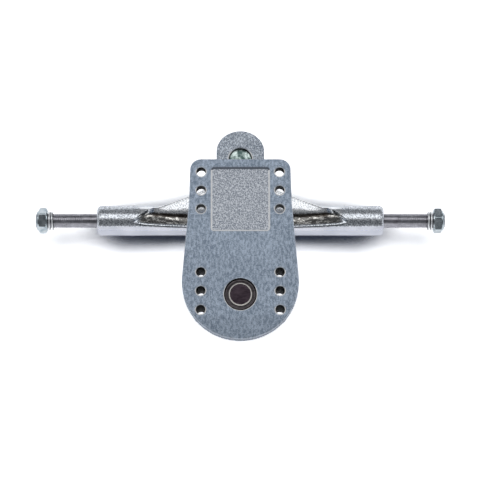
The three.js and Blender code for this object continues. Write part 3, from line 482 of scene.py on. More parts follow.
def plate_metal(props, spacing, chamfer):
    """Satin aluminium with fine mottling and a blasted floor in the panel. Painted highlights lie on the
    hole rims, brightest at their sides, the pin bore's rim, the panel's walls and the plate's edges;
    the panel's far wall is painted darker as shade, and the bores are painted near black as shade.
    The rims and bores go by the distance from each hole's line. Along Y the way from the nearest row
    of holes is what is left over from whole steps between rows."""
    r = Recipe("satin_plate")
    x, y, z = r.axes()
    deep = z * -1
    strokes = r.noise((850, 400, 850))
    fine = r.noise((1900, 1500, 1900), 2)
    blotch = r.noise(90.0, 3, 0.6)
    scratch = r.noise((1900, 30, 1900), 2, turn=(0, 0, 0.06)).ramp(0.68, 0.76)
    grain, pits = r.sand()
    in_panel = x.size().within(-1, PANEL["half_x"] * MM, PANEL_BLUR)
    in_panel = in_panel * y.within(PANEL["low"] * MM, PANEL["high"] * MM, PANEL_BLUR)
    cast = (in_panel * deep.ramp(0.0003, 0.0005)).larger(deep.ramp(0.0008, 0.0014))
    # Painted highlight on the panel's walls, and painted shade on its far (+Y) wall.
    wall = in_panel * deep.within(0.0001, 0.00092, EDGE_BLUR)
    far_wall_shade = wall * y.ramp((PANEL["high"] - 1.9) * MM, (PANEL["high"] - 1.5) * MM)
    step = (HOLE_ROWS[1] - HOLE_ROWS[0]) * MM
    first, last = HOLE_ROWS[0] * MM - step / 2, HOLE_ROWS[-1] * MM + step / 2
    near_rows = y.ramp(-0.0001, 0.0001)
    row = (y + last - near_rows * (first + last)) / step
    along = (row.wrapped() - 0.5) * step
    from_hole = r.from_axis(x.size() - spacing / 2, along)
    rows = y.size().within(first, last)
    pin_y = y - PIN_AT[1] * MM
    from_pin = r.from_axis(x, pin_y)
    below_rim = deep.ramp(chamfer - 0.00004, chamfer + 0.00004)
    below_pin_rim = deep.ramp(0.00032, 0.0004)
    # The bores are painted near black as shade.
    bore = (1 - from_hole.ramp(0.0025, 0.00258)) * below_rim * rows
    bore = bore.larger((1 - from_pin.ramp(0.00856, 0.00862)) * below_pin_rim)
    # Painted highlight on the hole chamfers, brightest at each hole's sides.
    rim = from_hole.within(0.0022, 0.0025 + chamfer, EDGE_BLUR) * (1 - below_rim) * rows
    rim = rim * (1 - along.ramp(0.0004, 0.002) * 0.75)
    # Painted highlight on the pin bore's rim, faded on its +Y side.
    pin_rim = from_pin.within(0.0084, 0.00887, EDGE_BLUR) * (1 - below_pin_rim)
    pin_rim = pin_rim * (1 - pin_y.ramp(0.001, 0.007) * 0.9)
    clear = from_hole.ramp(0.0032, 0.0034).larger(1 - rows) * from_pin.ramp(0.0091, 0.0092)
    # Painted highlight along the plate's edge rounding.
    edge = (1 - in_panel) * clear * deep.within(0.00005, 0.0007, 0.00004)
    bright = rim.larger(pin_rim).larger(wall * 0.9 - far_wall_shade).larger(edge * 0.18)
    tone = strokes * 0.45 + fine * 0.4 + blotch * 0.15
    satin = r.blend(tone.ramp(0.4, 0.61), props.plate_dark, props.plate_light)
    satin = r.blend(scratch * 0.2, satin, lin(206, 213, 222))
    speckle = (grain * 0.8 + pits * 0.35).ramp(0.44, 0.7)
    colour = r.blend(cast, satin, r.blend(speckle, props.panel_dark, props.panel_light))
    under = deep.ramp(0.0014, 0.0018).larger((1 - in_panel) * deep.ramp(0.0006, 0.001))
    colour = r.blend(under, colour, r.blend(speckle, lin(98, 107, 121), lin(172, 180, 192)))
    # The panel's far wall is painted darker as shade.
    colour = r.blend(far_wall_shade, colour, lin(116, 123, 134))
    # All the painted highlights take the rim colour.
    colour = r.blend(bright, colour, props.rim_light)
    # Painted shade: the bores go near black.
    colour = r.blend(bore, colour, lin(14, 14, 16))
    rough = (0.48 + tone * 0.16) * (1 - cast) + (0.55 + grain * 0.2) * cast
    height = (strokes * 0.5 + fine * 0.4) * (1 - cast) + (grain * 1.6 + pits * 1.1) * cast
    height = r.bump(height * (1 - bright), 0.35, 0.00006)
    return r.done(colour, rough * (1 - bright * 0.55), 0.8 - bright * 0.7, height)


def cast_metal(props):
    """Blasted cast aluminium: coarse sparkle over soft blotches. Where the kingpin's pocket is machined,
    its rim carries a painted highlight that fades on its +Y side, and its wall is painted darker as shade."""
    r = Recipe("blasted_casting")
    grain, pits = r.sand()
    blotch = r.noise(90.0)
    speckle = (grain * 0.75 + pits * 0.3 + blotch * 0.15).ramp(0.48, 0.76)
    x, y, z = r.axes()
    king_y = y - KING_AT[1] * MM
    from_king = r.from_axis(x, king_y)
    top = (z - (ARM_TOP - 0.6) * MM).ramp(0, 0.0001)
    # Painted highlight on the kingpin pocket's rim, fading on its +Y side.
    rim = from_king.within(0.0062, 0.0069, EDGE_BLUR) * top * (1 - king_y.ramp(0.003, 0.0055) * 0.8)
    bore = (1 - from_king.ramp(0.00632, 0.00638)) * (1 - (z - (ARM_TOP - 0.5) * MM).ramp(0, 0.0001))
    colour = r.blend(speckle, props.cast_dark, props.cast_light)
    colour = r.blend(rim, colour, props.rim_light)
    # The pocket's wall is painted darker as shade.
    colour = r.blend(bore, colour, lin(96, 104, 106))
    height = r.bump((grain * 1.5 + pits) * (1 - rim), 0.35, 0.00006)
    return r.done(colour, (0.48 + grain * 0.2) * (1 - rim * 0.6), 0.8 - rim * 0.7, height)


def polished_metal(props):
    """Hand-polished casting. The deck side keeps a hammered grain, which ends at a line along the
    barrel. The pockets carry a painted dark reflection mottled with bright patches, their creases are
    painted shade, and the outer webs carry a painted bright reflection. Places in the pockets go by
    the distance up the web, u, and out from it, v."""
    r = Recipe("polished_casting")
    x, y, z = r.axes()
    dy, dz = y - AXLE_AT[1] * MM, z - AXLE_AT[2] * MM
    along, up = (float(part) for part in SLOPE)
    u = dy * along + dz * up
    v = dz * along - dy * up
    hammered = (dz * math.sin(GRAIN_LIMIT) + dy * math.cos(GRAIN_LIMIT)).ramp(-0.0002, 0.0003)
    peel = r.noise(1000.0, 2, 0.5)
    grain = r.noise(1500.0, 2, 0.6)
    ripple = r.noise((160, 420, 420), 2)
    haze = r.noise(120.0)
    blotch = r.noise((300, 520, 520))
    way_out = x.size()
    web_x = (WEB["start"] - 2.5) * MM
    in_web = (1 - way_out.ramp(web_x - 0.003, web_x)) * v.within(-0.0008, 0.007, 0.0003)
    web_sheen = in_web * u.ramp(0.0055, 0.0075)
    pocket = in_web * u.within(0.0012, 0.0062, 0.0003)
    crease = in_web * u.within(0.0043, 0.0058, 0.0003) * (1 - way_out.ramp(0.046, 0.053))
    barrel = way_out.ramp(0.052, 0.06)
    smooth = r.blend(haze.ramp(0.3, 0.7), props.polish_dark, props.polish_light)
    speckled = r.blend(grain.ramp(0.38, 0.6), props.grain_dark, props.polish_web)
    colour = r.blend(hammered * 0.85, smooth, speckled)
    # Painted bright reflection on the outer webs.
    webbed = r.blend(grain.ramp(0.36, 0.55), lin(206, 210, 216), lin(250, 252, 254))
    colour = r.blend(web_sheen, colour, webbed)
    # Painted reflection in the pockets: dark brown mottled with bright patches.
    reflection_mottle = (blotch * 0.7 + grain * 0.3).ramp(0.48, 0.6)
    colour = r.blend(pocket * 0.85, colour, r.blend(reflection_mottle, lin(88, 83, 76), lin(240, 237, 230)))
    # Painted shade along the pockets' creases.
    colour = r.blend(crease * 0.9, colour, lin(50, 42, 36))
    height = (peel + grain * 0.5) * (0.18 + hammered * (0.25 + barrel * 0.57)) + ripple * 0.7
    rough = 0.1 + haze * 0.1 + pocket * 0.12 + hammered * barrel * 0.14
    return r.done(colour, rough, 1.0, r.bump(height, 0.6, 0.00015))


def zinc_metal(name, dark, light, rough=0.22, contrast=0.2):
    """Bright zinc plate: a cool base with clouds and fine scratches."""
    r = Recipe(name)
    cloud = r.noise(260.0)
    lines = r.noise((3000, 500, 500), 2)
    colour = r.blend(cloud.ramp(0.5 - contrast, 0.5 + contrast), dark, light)
    return r.done(colour, rough + cloud * 0.15, 1.0, r.bump(lines + cloud, 0.15, 0.00004))


def bare_steel(name, dark, light, rough=0.35, wear=0.0, bright_ring=None):
    """Dark drawn steel with streaks, stains and rubbed bright spots. A bright ring, where one is given,
    is a painted highlight on the share of the swing pivot's surface between two distances from its line."""
    r = Recipe(name)
    stain = r.noise(240.0, 4, 0.65)
    streak = r.noise((300, 2400, 2400))
    colour = r.blend((stain * 0.5 + streak * 0.5).ramp(0.35, 0.65), dark, light)
    metallic = 1.0
    if bright_ring:
        x, y, z = r.axes()
        # Painted highlight on the pivot pin's chamfer.
        ring = r.from_axis(x, y - PIN_AT[1] * MM).within(*bright_ring, EDGE_BLUR)
        ring = ring * (z * -1).within(-1, 0.00115, EDGE_BLUR)
        colour = r.blend(ring, colour, lin(250, 246, 240))
        metallic = 1 - ring * 0.6
    if wear:
        colour = r.blend(stain.ramp(0.62, 0.72) * wear, colour, lin(205, 205, 208))
    return r.done(colour, rough + stain * 0.2, metallic, r.bump(streak + stain, 0.2, 0.00004))


def speed_ring_metal():
    """Rims painted bright as a highlight and faces painted near black as shade: the rims lie farther from the
    axle's line.
    """
    r = Recipe("speed_ring_zinc")
    _, y, z = r.axes()
    rim = r.from_axis(y - AXLE_AT[1] * MM, z - AXLE_AT[2] * MM).ramp(0.00495, 0.0052)
    cloud = r.noise(500.0)
    share = cloud.ramp(0.3, 0.7)
    # Faces painted near black as shade between the rings; rims painted bright as a highlight.
    face = r.blend(share, lin(24, 24, 26), lin(52, 53, 56))
    edge = r.blend(share, lin(222, 226, 230), lin(248, 250, 252))
    return r.done(r.blend(rim, face, edge), 0.25 + cloud * 0.1, 1 - rim * 0.5)


def moulded(name, dark, light, rough):
    """Cast urethane or moulded plastic: faint mottling and a fine skin."""
    r = Recipe(name)
    mottle = r.noise(160.0)
    grain = r.noise(900.0, 2)
    colour = r.blend(mottle.ramp(0.3, 0.7), dark, light)
    return r.done(colour, rough + grain * 0.15, 0.0, r.bump(grain, 0.15, 0.00005))


# Sizes and colours that a user would change

PANEL = {"half_x": 15.8, "low": 4.6, "high": 39.8, "depth": 1.0, "draft": 1.2, "corner": 2.0}


def number(name, description, value, unit="NONE", subtype="NONE"):
    return bpy.props.FloatProperty(name=name, description=description, default=value, unit=unit,
                                   subtype=subtype, precision=4)


def length(name, description, value):
    return number(name, description, value * MM, "LENGTH", "DISTANCE")


def tint(name, description, value):
    return bpy.props.FloatVectorProperty(name=name, description=description, default=value,
                                         subtype="COLOR", size=3, min=0, max=1)


class PlateSizes(bpy.types.PropertyGroup):
    thickness: length("Thickness", "Plate thickness", 7)
    edge: length("Edge round", "Radius of the plate's edges", 0.6)
    hole_radius: length("Hole radius", "Radius of the deck bolt holes", 2.45)
    hole_chamfer: length("Hole chamfer", "Width of the chamfer round each hole", 0.5)
    hole_spacing: length("Hole spacing", "Distance between the two columns of holes", 41.3)


class ArmSizes(bpy.types.PropertyGroup):
    tab_half: length("Tab half width", "Half the width of the tab that holds the kingpin", 12.85)
    waist_half: length("Waist half width", "Half the width of the arm at its waist", 11.6)
    edge: length("Edge round", "Radius of the arm's edges", 0.6)


class HangerSizes(bpy.types.PropertyGroup):
    half_length: length("Half length", "Middle of the hanger to its end face", 80.1)
    barrel_radius: length("Barrel radius", "Radius of the hanger's barrel", 8.6)
    ring_radius: length("Ring radius", "Outer radius of the ring round the bushings", 14.5)
    pocket_floor: length("Pocket floor", "Height of the pocket's floor over the web's middle", 1.5)


class AxleSizes(bpy.types.PropertyGroup):
    radius: length("Radius", "Axle radius", 3.97)
    pitch: length("Thread pitch", "Distance between two turns of the thread", 1.06)
    thread_depth: length("Thread depth", "Depth of the thread", 0.2)


class TruckColours(bpy.types.PropertyGroup):
    plate_dark: tint("Plate dark", "Darker strokes of the plate", lin(126, 140, 157))
    plate_light: tint("Plate light", "Lighter strokes of the plate", lin(188, 201, 217))
    panel_dark: tint("Panel dark", "Darker grains of the cast panel", lin(142, 151, 165))
    panel_light: tint("Panel light", "Lighter grains of the cast panel", lin(232, 236, 242))
    cast_dark: tint("Casting dark", "Darker grains of the arm", lin(124, 134, 148))
    cast_light: tint("Casting light", "Lighter grains of the arm", lin(222, 229, 237))
    # Colour of the painted highlights on rims, chamfers and edges.
    rim_light: tint("Rims", "Machined rims and chamfers", lin(254, 255, 255))
    polish_dark: tint("Polish dark", "Hazy areas of the hanger", lin(190, 193, 203))
    polish_light: tint("Polish light", "Clear areas of the hanger", lin(206, 208, 217))
    polish_web: tint("Polish web", "Bright grains of the hanger and its webs", lin(238, 243, 248))
    grain_dark: tint("Grain dark", "Dark grains of the hanger's hammered side", lin(128, 134, 142))


class StudioSettings(bpy.types.PropertyGroup):
    distance: length("Distance", "Camera to the origin", 1050)
    elevation: number("Elevation", "Camera's height angle", 76.4 * DEG, "ROTATION", "ANGLE")
    lens: number("Lens", "Focal length", 150.75, "CAMERA", "DISTANCE_CAMERA")
    key_power: number("Key light", "Power of the rear softbox", 8.2, subtype="POWER")
    front_power: number("Front light", "Power of the front softbox", 6.5, subtype="POWER")
    side_power: number("Side lights", "Power of each side softbox", 1.8, subtype="POWER")
    ambient: number("Ambient", "Brightness of the room's walls", 0.28, subtype="FACTOR")
    overhead: number("Overhead", "Brightness of the room's ceiling", 0.14, subtype="FACTOR")


SIZE_GROUPS = {
    "truck_plate": PlateSizes,
    "truck_arm": ArmSizes,
    "truck_hanger": HangerSizes,
    "truck_axle": AxleSizes,
    "truck_colours": TruckColours,
    "truck_studio": StudioSettings,
}


# Base plate

WAIST = {"y": 20.0, "half": 27.0}
FRONT = {"y": 44.0, "half": 26.5, "corner": 5.7}
ROUND_END = {"y": -22.0, "radius": 30.5}
HOLE_ROWS = (17.0, 27.0, 37.0)      # how far the rows of bolt holes lie from the middle, either way
HOUSING = {"half_x": 24.7, "low": -41.5, "high": -12.3, "corner": 5.0, "round": 18.2,
           "foot": -19.0, "edge": 1.0}
LIGHTENING = {"half_x": 14.0, "low": -4.0, "high": 36.0, "depth": 2.6, "corner": 4.0}
PIN_BORE = {"top": 8.5, "rim": 0.35, "collar_foot": -2.7, "flange": 10.2, "flange_top": -8.5,
            "flange_foot": -13.1, "pocket": 14.9, "radius": 6.3}


def plate_outline():
    """Straight front edge with round corners, sides that splay from a waist, and a round end that
    the sides meet at a tangent."""
    half, corner, quarter = WAIST["half"], FRONT["corner"], math.pi / 2
    rise = WAIST["y"] - ROUND_END["y"]
    tangent = math.atan2(rise, half) - math.acos(ROUND_END["radius"] / math.hypot(half, rise))
    x, y = FRONT["half"] - corner, FRONT["y"] - corner
    return resampled(np.vstack([
        [[half, WAIST["y"]]],
        arc((x, y), corner, 0, quarter, 14),
        arc((-x, y), corner, quarter, math.pi, 14),
        [[-half, WAIST["y"]]],
        arc((0, ROUND_END["y"]), ROUND_END["radius"], math.pi - tangent, TURN + tangent, 120),
    ]), BEND_STEP)


def bolt_places(spacing):
    x = spacing / 2
    return [(side * x, end * y) for side in (-1, 1) for end in (-1, 1) for y in HOLE_ROWS]


def panel_cutter():
    """The shallow panel as a solid: a rounded box whose walls slope in to its floor."""
    depth, draft = PANEL["depth"], PANEL["draft"]
    walls = [[draft + 0.35, -depth], [draft, -depth + 0.03], [draft - 0.25, -depth + 0.16],
             [0.3, -0.14], [0.08, -0.03], [-0.12, 0.01], [-0.12, OVERRUN]]
    return carried(rounded_box(PANEL, 10), walls)


class TRUCK_OT_base_plate(bpy.types.Operator):
    """Builds the satin base plate with its bolt holes, panel and pivot housing"""
    bl_idname = "truck.base_plate"
    bl_label = "Base plate"

    def execute(self, context):
        sizes = context.scene.truck_plate
        thickness, edge = sizes.thickness / MM, sizes.edge / MM
        hole, chamfer = sizes.hole_radius / MM, sizes.hole_chamfer / MM
        obj = new_object("satin_base_plate", carried(plate_outline(), round_edge(-thickness, 0, edge)))
        foot, seam = HOUSING["foot"], -thickness / 2
        block = carried(rounded_box(HOUSING), round_edge(foot, seam, HOUSING["edge"]))
        round_block = rod(HOUSING["round"], foot, seam, 96)
        low, wide = foot - OVERRUN, hole + chamfer
        drill = lathe([[hole, low], [hole, -chamfer], [wide, 0], [wide, OVERRUN]], 48, edge=0.08)
        drills = [drill.moved(shift=(x, y, 0)) for x, y in bolt_places(sizes.hole_spacing / MM)]
        bore = PIN_BORE
        rim = bore["top"] + bore["rim"]
        pivot = lathe([
            [bore["pocket"], low], [bore["pocket"], bore["flange_foot"]],
            [bore["flange"], bore["flange_foot"]], [bore["flange"], bore["flange_top"]],
            [bore["radius"], bore["flange_top"]], [bore["radius"], bore["collar_foot"]],
            [bore["top"], bore["collar_foot"]], [bore["top"], -bore["rim"]], [rim, 0], [rim, OVERRUN],
        ], 128, edge=0.08)
        roof = -thickness + LIGHTENING["depth"]
        hollow = carried(rounded_box(LIGHTENING), [
            [0, -thickness - OVERRUN], [0, -thickness], [0.6, roof - 0.6], [1.4, roof]])
        at_pin = (0, PIN_AT[1], 0)
        carve(obj, (ADD, block), (ADD, round_block.moved(shift=at_pin)), (CUT, panel_cutter()),
              (CUT, hollow), (CUT, *drills), (CUT, pivot.moved(shift=at_pin)))
        metal = plate_metal(context.scene.truck_colours, sizes.hole_spacing, sizes.hole_chamfer)
        finish_piece(obj, "base", "plate_aluminium", metal, "base_plate")
        return {"FINISHED"}


# Swing pivot

PIN_HOLE = 6.3           # the radius of the hole in each ring and nut on the pivot pin


def hex_shell(across, low, high, chamfer, sides=192, rows=10):
    """A hexagonal block: at angle a the flat is at (across/2) / cos(a folded into +-30 degrees), and
    a cone at each end trims the corners, so the radius is the smaller of the two."""
    angle = np.linspace(0, TURN, sides, endpoint=False)
    folded = (angle + math.pi / 6) % (math.pi / 3) - math.pi / 6
    flat = across / 2 / np.cos(folded)
    corner = across / math.sqrt(3)
    drop = 0.58 * chamfer
    ends = np.linspace(0, 1, rows) ** 1.2
    z = np.concatenate([low + drop * 1.6 * ends, high - drop * 1.6 * ends[::-1]])
    from_end = np.minimum(z - low, high - z)[:, None]
    cone = corner - chamfer + from_end * chamfer / drop
    radius = np.minimum(flat[None], cone)
    radius = radius - 0.12 * np.exp(-(corner - flat[None]) * 14) * np.ones_like(radius)
    rings = np.stack([radius * np.cos(angle), radius * np.sin(angle), z[:, None] + 0 * angle], -1)
    return ring_shell(rings)


class TRUCK_OT_swing_pivot(bpy.types.Operator):
    """Builds the pivot pin, its dark ring, the spring's anchor, the washer and the nut"""
    bl_idname = "truck.swing_pivot"
    bl_label = "Swing pivot"

    def execute(self, context):
        dark = bare_steel("oiled_pin_steel", lin(50, 42, 49), lin(80, 69, 77), 0.42,
                          bright_ring=(0.0055, 0.0062))
        collar_steel = bare_steel("collar_steel", lin(58, 54, 57), lin(104, 99, 101), 0.36)
        zinc = zinc_metal("pivot_zinc", lin(150, 157, 163), lin(190, 198, 203), 0.25)
        turned("pivot_pin_steel", PIN_AT, "pivot_pin", lambda low, high: [
            [5.1, low], [6.1, low + 1], [6.1, -12.9], [10, -12.9], [10, -8.7], [6.1, -8.7],
            [6.1, -0.85], [5.55, -0.4], [0.4, -0.4],
        ], "base", "dark_steel", dark, 128, False, 0.07)
        turned("pivot_ring_steel", PIN_AT, "pivot_collar", lambda low, high: [
            [6.32, low], [8.2, low], [8.2, high - 0.2], [7.9, high], [7.1, high],
            [6.9, high - 0.35], [6.32, high - 0.35],
        ], "base", "dark_steel", collar_steel, 128, edge=0.06)
        for name, node, outer, edge in (("spring_anchor_disc", "spring_anchor", 13.2, 0.4),
                                        ("pivot_washer_zinc", "pivot_washer", 11.5, 0.3)):
            turned(name, PIN_AT, node, band(outer, PIN_HOLE), "base", "zinc_steel", zinc, edge=edge)
        low, high = box_mm("pivot_nut")
        at_pin = (0, PIN_AT[1], 0)
        nut = new_object("pivot_nut_zinc", hex_shell(19, low[2], high[2], 0.9).moved(shift=at_pin))
        bore = rod(PIN_HOLE, low[2] - OVERRUN, high[2] + OVERRUN, 96)
        carve(nut, (CUT, bore.moved(shift=at_pin)))
        finish_piece(nut, "base", "zinc_steel", zinc, "pivot_nut")
        return {"FINISHED"}


class TRUCK_OT_inner_parts(bpy.types.Operator):
    """Gives the bearing, bushes and return spring inside the pivot their finishes"""
    bl_idname = "truck.inner_parts"
    bl_label = "Inner parts"

    def execute(self, context):
        bearing = zinc_metal("ground_bearing_steel", lin(150, 150, 154), lin(190, 190, 194), 0.16)
        bronze = bare_steel("sintered_bronze", lin(140, 108, 66), lin(188, 150, 98), 0.4)
        spring = bare_steel("oiled_spring_steel", lin(80, 80, 86), lin(120, 120, 126), 0.3)
        finishes = {"thrust_washer": bearing, "thrust_roller": bearing, "thrust_cage": bronze,
                    "hub_bush": bronze, "return_spring": spring}
        for name, node in frame["nodes"].items():
            for start, finish in finishes.items():
                if name.startswith(start):
                    node.data.materials.clear()
                    node.data.materials.append(finish)
        return {"FINISHED"}


# Swing arm

HUB = {"outer": 15.8, "top": 14.2, "foot": -38.0, "bevel": 1.0, "roof": -18.0, "cavity": 13.6,
       "cavity_top": -22.6, "sleeve": 9.0, "sleeve_foot": -35.2, "bore": 6.35}
TAB = {"y": 53.9, "reach": 11.5}
CUP = {"radius": 7.5, "foot": -7.4, "mouth": 4.5, "wall": 2.6, "floor": 2.6}
KING_POCKET = {"radius": 6.3, "depth": 5.0, "chamfer": 0.45}
KING = {"radius": 4.76, "hole": 4.96, "bushing_hole": 5.4, "head": 6.08, "head_foot": ARM_TOP - 4.7,
        "thread": 24, "pitch": 1.27, "depth": 0.45}
ARM_SEAT = -31.0
BELLY = [[9, -33.0], [36.6, -33.0], [36.6, -31.0], [27, -27.0], [19, -27.0], [9, -31.0]]


def bezier(a, b, c, steps):
    """A parabola from a to c that leaves and arrives along the lines to b."""
    return parabola(np.array(a), np.array(b), np.array(c), np.linspace(0, 1, steps)[:, None])


def arm_outline(tab_half, waist_half):
    """From the hub's sides in to the waist, out to the tab, and round its flattened end."""
    half = HUB["outer"] - 0.5
    hub_y, king_y, waist_y = PIN_AT[1], KING_AT[1], 8.0
    side = np.vstack([
        bezier((half, hub_y), (waist_half, hub_y + half), (waist_half, waist_y), 24),
        bezier((waist_half, waist_y), (waist_half, king_y - tab_half), (tab_half, king_y), 24)[1:],
    ])
    tip = arc((0, TAB["y"]), tab_half, 0, math.pi, 90, TAB["reach"] / tab_half)
    return resampled(np.vstack([side, tip, (side * [-1, 1])[::-1]]), BEND_STEP)


def steered(shell):
    """A shell along +Z, laid along the steering line from the pivot's cup."""
    return shell.moved(turn_to(STEER), PIVOT_AT)


class TRUCK_OT_swing_arm(bpy.types.Operator):
    """Builds the blasted swing arm with its hub, tab, kingpin pocket and pivot cup boss"""
    bl_idname = "truck.swing_arm"
    bl_label = "Swing arm"

    def execute(self, context):
        sizes = context.scene.truck_arm
        tab_half, edge = sizes.tab_half / MM, sizes.edge / MM
        outline = arm_outline(tab_half, sizes.waist_half / MM)
        arm = new_object("blasted_swing_arm", carried(outline, round_edge(ARM_SEAT, ARM_TOP, edge)))
        outer, bevel, foot = HUB["outer"], HUB["bevel"], HUB["foot"]
        hub = lathe([
            [outer - bevel, foot], [outer, foot + bevel], [outer, ARM_TOP - bevel],
            [outer - bevel, ARM_TOP], [HUB["top"], ARM_TOP], [HUB["top"], HUB["roof"]],
        ], 128, edge=0.4)
        cavity = washer(HUB["cavity"], HUB["sleeve"], foot - OVERRUN, HUB["cavity_top"])
        room = rod(HUB["cavity"], foot - OVERRUN, HUB["sleeve_foot"], 96)
        bore = rod(HUB["bore"], foot - OVERRUN, HUB["roof"] + OVERRUN, 96)
        hub, cavity, room, bore = (s.moved(shift=(0, PIN_AT[1], 0)) for s in (hub, cavity, room, bore))
        cup_r, cup_foot, mouth = CUP["radius"], CUP["foot"], CUP["mouth"]
        boss_r, boss_foot = cup_r + CUP["wall"], cup_foot - CUP["floor"]
        boss = lathe([[boss_r - 0.8, boss_foot], [boss_r, boss_foot + 0.8], [boss_r, mouth - 0.6],
                      [boss_r - 0.6, mouth]], 96, edge=0.4)
        socket = lathe([[cup_r + 0.2, cup_foot], [cup_r + 0.2, mouth - 0.4], [cup_r + 0.7, mouth + 0.1],
                        [cup_r + 0.7, mouth + OVERRUN]])
        pocket_r, floor, rim = KING_POCKET["radius"], ARM_TOP - KING_POCKET["depth"], KING_POCKET["chamfer"]
        pocket = lathe([
            [KING["hole"], ARM_SEAT - OVERRUN], [KING["hole"], floor], [pocket_r, floor],
            [pocket_r, ARM_TOP - rim], [pocket_r + rim, ARM_TOP], [pocket_r + rim, ARM_TOP + OVERRUN],
        ], 128, edge=0.08).moved(shift=(0, KING_AT[1], 0))
        belly = softened(BELLY, 3.0, True, 6)
        across = carried(belly, [[0, -2 * tab_half], [0, 2 * tab_half]]).moved(ACROSS)
        carve(arm, (CUT, across), (ADD, hub), (ADD, steered(boss)), (CUT, cavity), (CUT, room),
              (CUT, bore), (CUT, steered(socket)), (CUT, pocket))
        finish_piece(arm, "arm", "cast_aluminium", cast_metal(context.scene.truck_colours), "swing_arm")
        rubber = moulded("black_urethane_cup", lin(22, 22, 24), lin(38, 38, 41), 0.45)
        cup = new_object("black_pivot_cup", steered(lathe([
            [0.3, cup_foot + 0.2], [cup_r, cup_foot + 0.2], [cup_r, mouth],
            [5.45, mouth], [5.45, 0], [4.4, -3.2], [2.5, -4.8], [0.3, -5.4],
        ], 96, edge=0.3)))
        finish_piece(cup, "arm", "black_urethane", rubber, "pivot_cup")
        return {"FINISHED"}


# Kingpin, bushings and their washers

class TRUCK_OT_kingpin_stack(bpy.types.Operator):
    """Builds the kingpin, its washers, the two bushings and the lock nut"""
    bl_idname = "truck.kingpin_stack"
    bl_label = "Kingpin and bushings"

    def execute(self, context):
        zinc = zinc_metal("kingpin_zinc", lin(66, 84, 82), lin(200, 214, 211), 0.18, 0.1)
        at = (0, KING_AT[1], 0)
        low, high = (corner[2] for corner in box_mm("kingpin"))
        radius, hole, head, head_foot = KING["radius"], KING["hole"], KING["head"], KING["head_foot"]
        thread_top = low + KING["thread"]
        shank = lathe([
            [4.0, low], [radius, low + 0.9], [radius, head_foot], [head, head_foot],
            [head, high - 0.75], [5.8, high - 0.42], [4.7, high - 0.2], [2.8, high - 0.04], [0.3, high],
        ], edge=0.25)
        pin = new_object("kingpin_zinc_bolt", shank.moved(shift=at))
        thread = threaded_rod(radius, low + 0.4, thread_top, KING["pitch"], KING["depth"])
        groove = washer(6.5, 4.5, low - OVERRUN, thread_top)
        carve(pin, (CUT, groove.moved(shift=at)), (ADD, thread.moved(shift=at)))
        finish_piece(pin, "arm", "zinc_steel", zinc, "kingpin")
        turned("upper_cup_washer", KING_AT, "kingpin_washer_upper", lambda low, high: [
            [hole, low + 1.0], [10.0, low + 1.0], [10.2, low], [11.4, low], [11.4, high - 0.3],
            [11.0, high], [hole, high],
        ], "arm", "zinc_steel", zinc, edge=0.25)
        turned("lower_washer", KING_AT, "kingpin_washer_lower", band(10.0, hole),
               "arm", "zinc_steel", zinc, edge=0.35)
        soft = moulded("cast_urethane", lin(196, 197, 194), lin(218, 219, 216), 0.4)
        inner = KING["bushing_hole"]
        barrel = turned("barrel_bushing", KING_AT, "bushing_upper", lambda low, high: [
            [inner, low], [10.6, low], [11.8, low + 1.3], [12.0, (low + high) / 2 - 1],
            [11.8, high - 3.2], [10.4, high - 1.6], [9.9, high - 1.0], [9.7, high], [inner, high],
        ], None, "urethane", soft, edge=0.6)
        low, high = box_mm("bushing_upper")
        at[1] * MM
        at[1] * MM
        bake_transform(barrel)
        cone = turned("cone_bushing", KING_AT, "bushing_lower", lambda low, high: [
            [inner, low], [9.0, low], [9.6, low + 1.0], [11.9, high - 3.2], [11.9, high - 1.2],
            [10.8, high], [inner, high],
        ], None, "urethane", soft, edge=0.7)
        low, high = box_mm("bushing_lower")
        at[1] * MM
        at[1] * MM
        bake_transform(cone)
        low, high = box_mm("kingpin_nut")
        nut = lock_nut("kingpin_lock_nut", 14.3, hole, high[2] - low[2], 2.2, 6.4, 0.0)
        place_mesh(nut, turn_to((0, 0, -1)), (0, KING_AT[1], high[2]))
        finish_piece(nut, "arm", "zinc_steel", zinc, "kingpin_nut")
        nylon = moulded("blue_nylon", lin(60, 96, 150), lin(84, 122, 176), 0.4)
        turned("kingpin_nylon_ring", KING_AT, "kingpin_nut_insert", band(5.85, hole),
               "arm", "nylon", nylon)
        return {"FINISHED"}


def place_mesh(obj, turn, shift):
    """Turns and shifts an object's mesh, in millimetres, and leaves the object at the origin."""
    matrix = Matrix(np.asarray(turn).tolist()).to_4x4()
    matrix.translation = Vector(np.asarray(shift) * MM)
    obj.data.transform(matrix)


def threaded_rod(radius, low, high, pitch, depth, sides=48):
    """A rod with a screw thread: its radius falls by `depth` times a triangle wave of the height in
    pitches less the share of a turn, and the thread fades out over one pitch at each end."""
    rows = max(8, int((high - low) / pitch * 8))
    z = np.linspace(low, high, rows)[:, None]
    angle = np.linspace(0, TURN, sides, endpoint=False)[None]
    wave = np.abs(((z / pitch - angle / TURN) % 1.0) * 2 - 1)
    fade = np.clip(np.minimum(z - low, high - z) / pitch, 0, 1)
    r = radius - depth * (1 - (1 - wave) * fade) * np.clip(1.15 - 0.15 * fade, 0, 1)
    rings = np.stack([r * np.cos(angle), r * np.sin(angle), z + 0 * angle], -1)
    return ring_shell(rings)


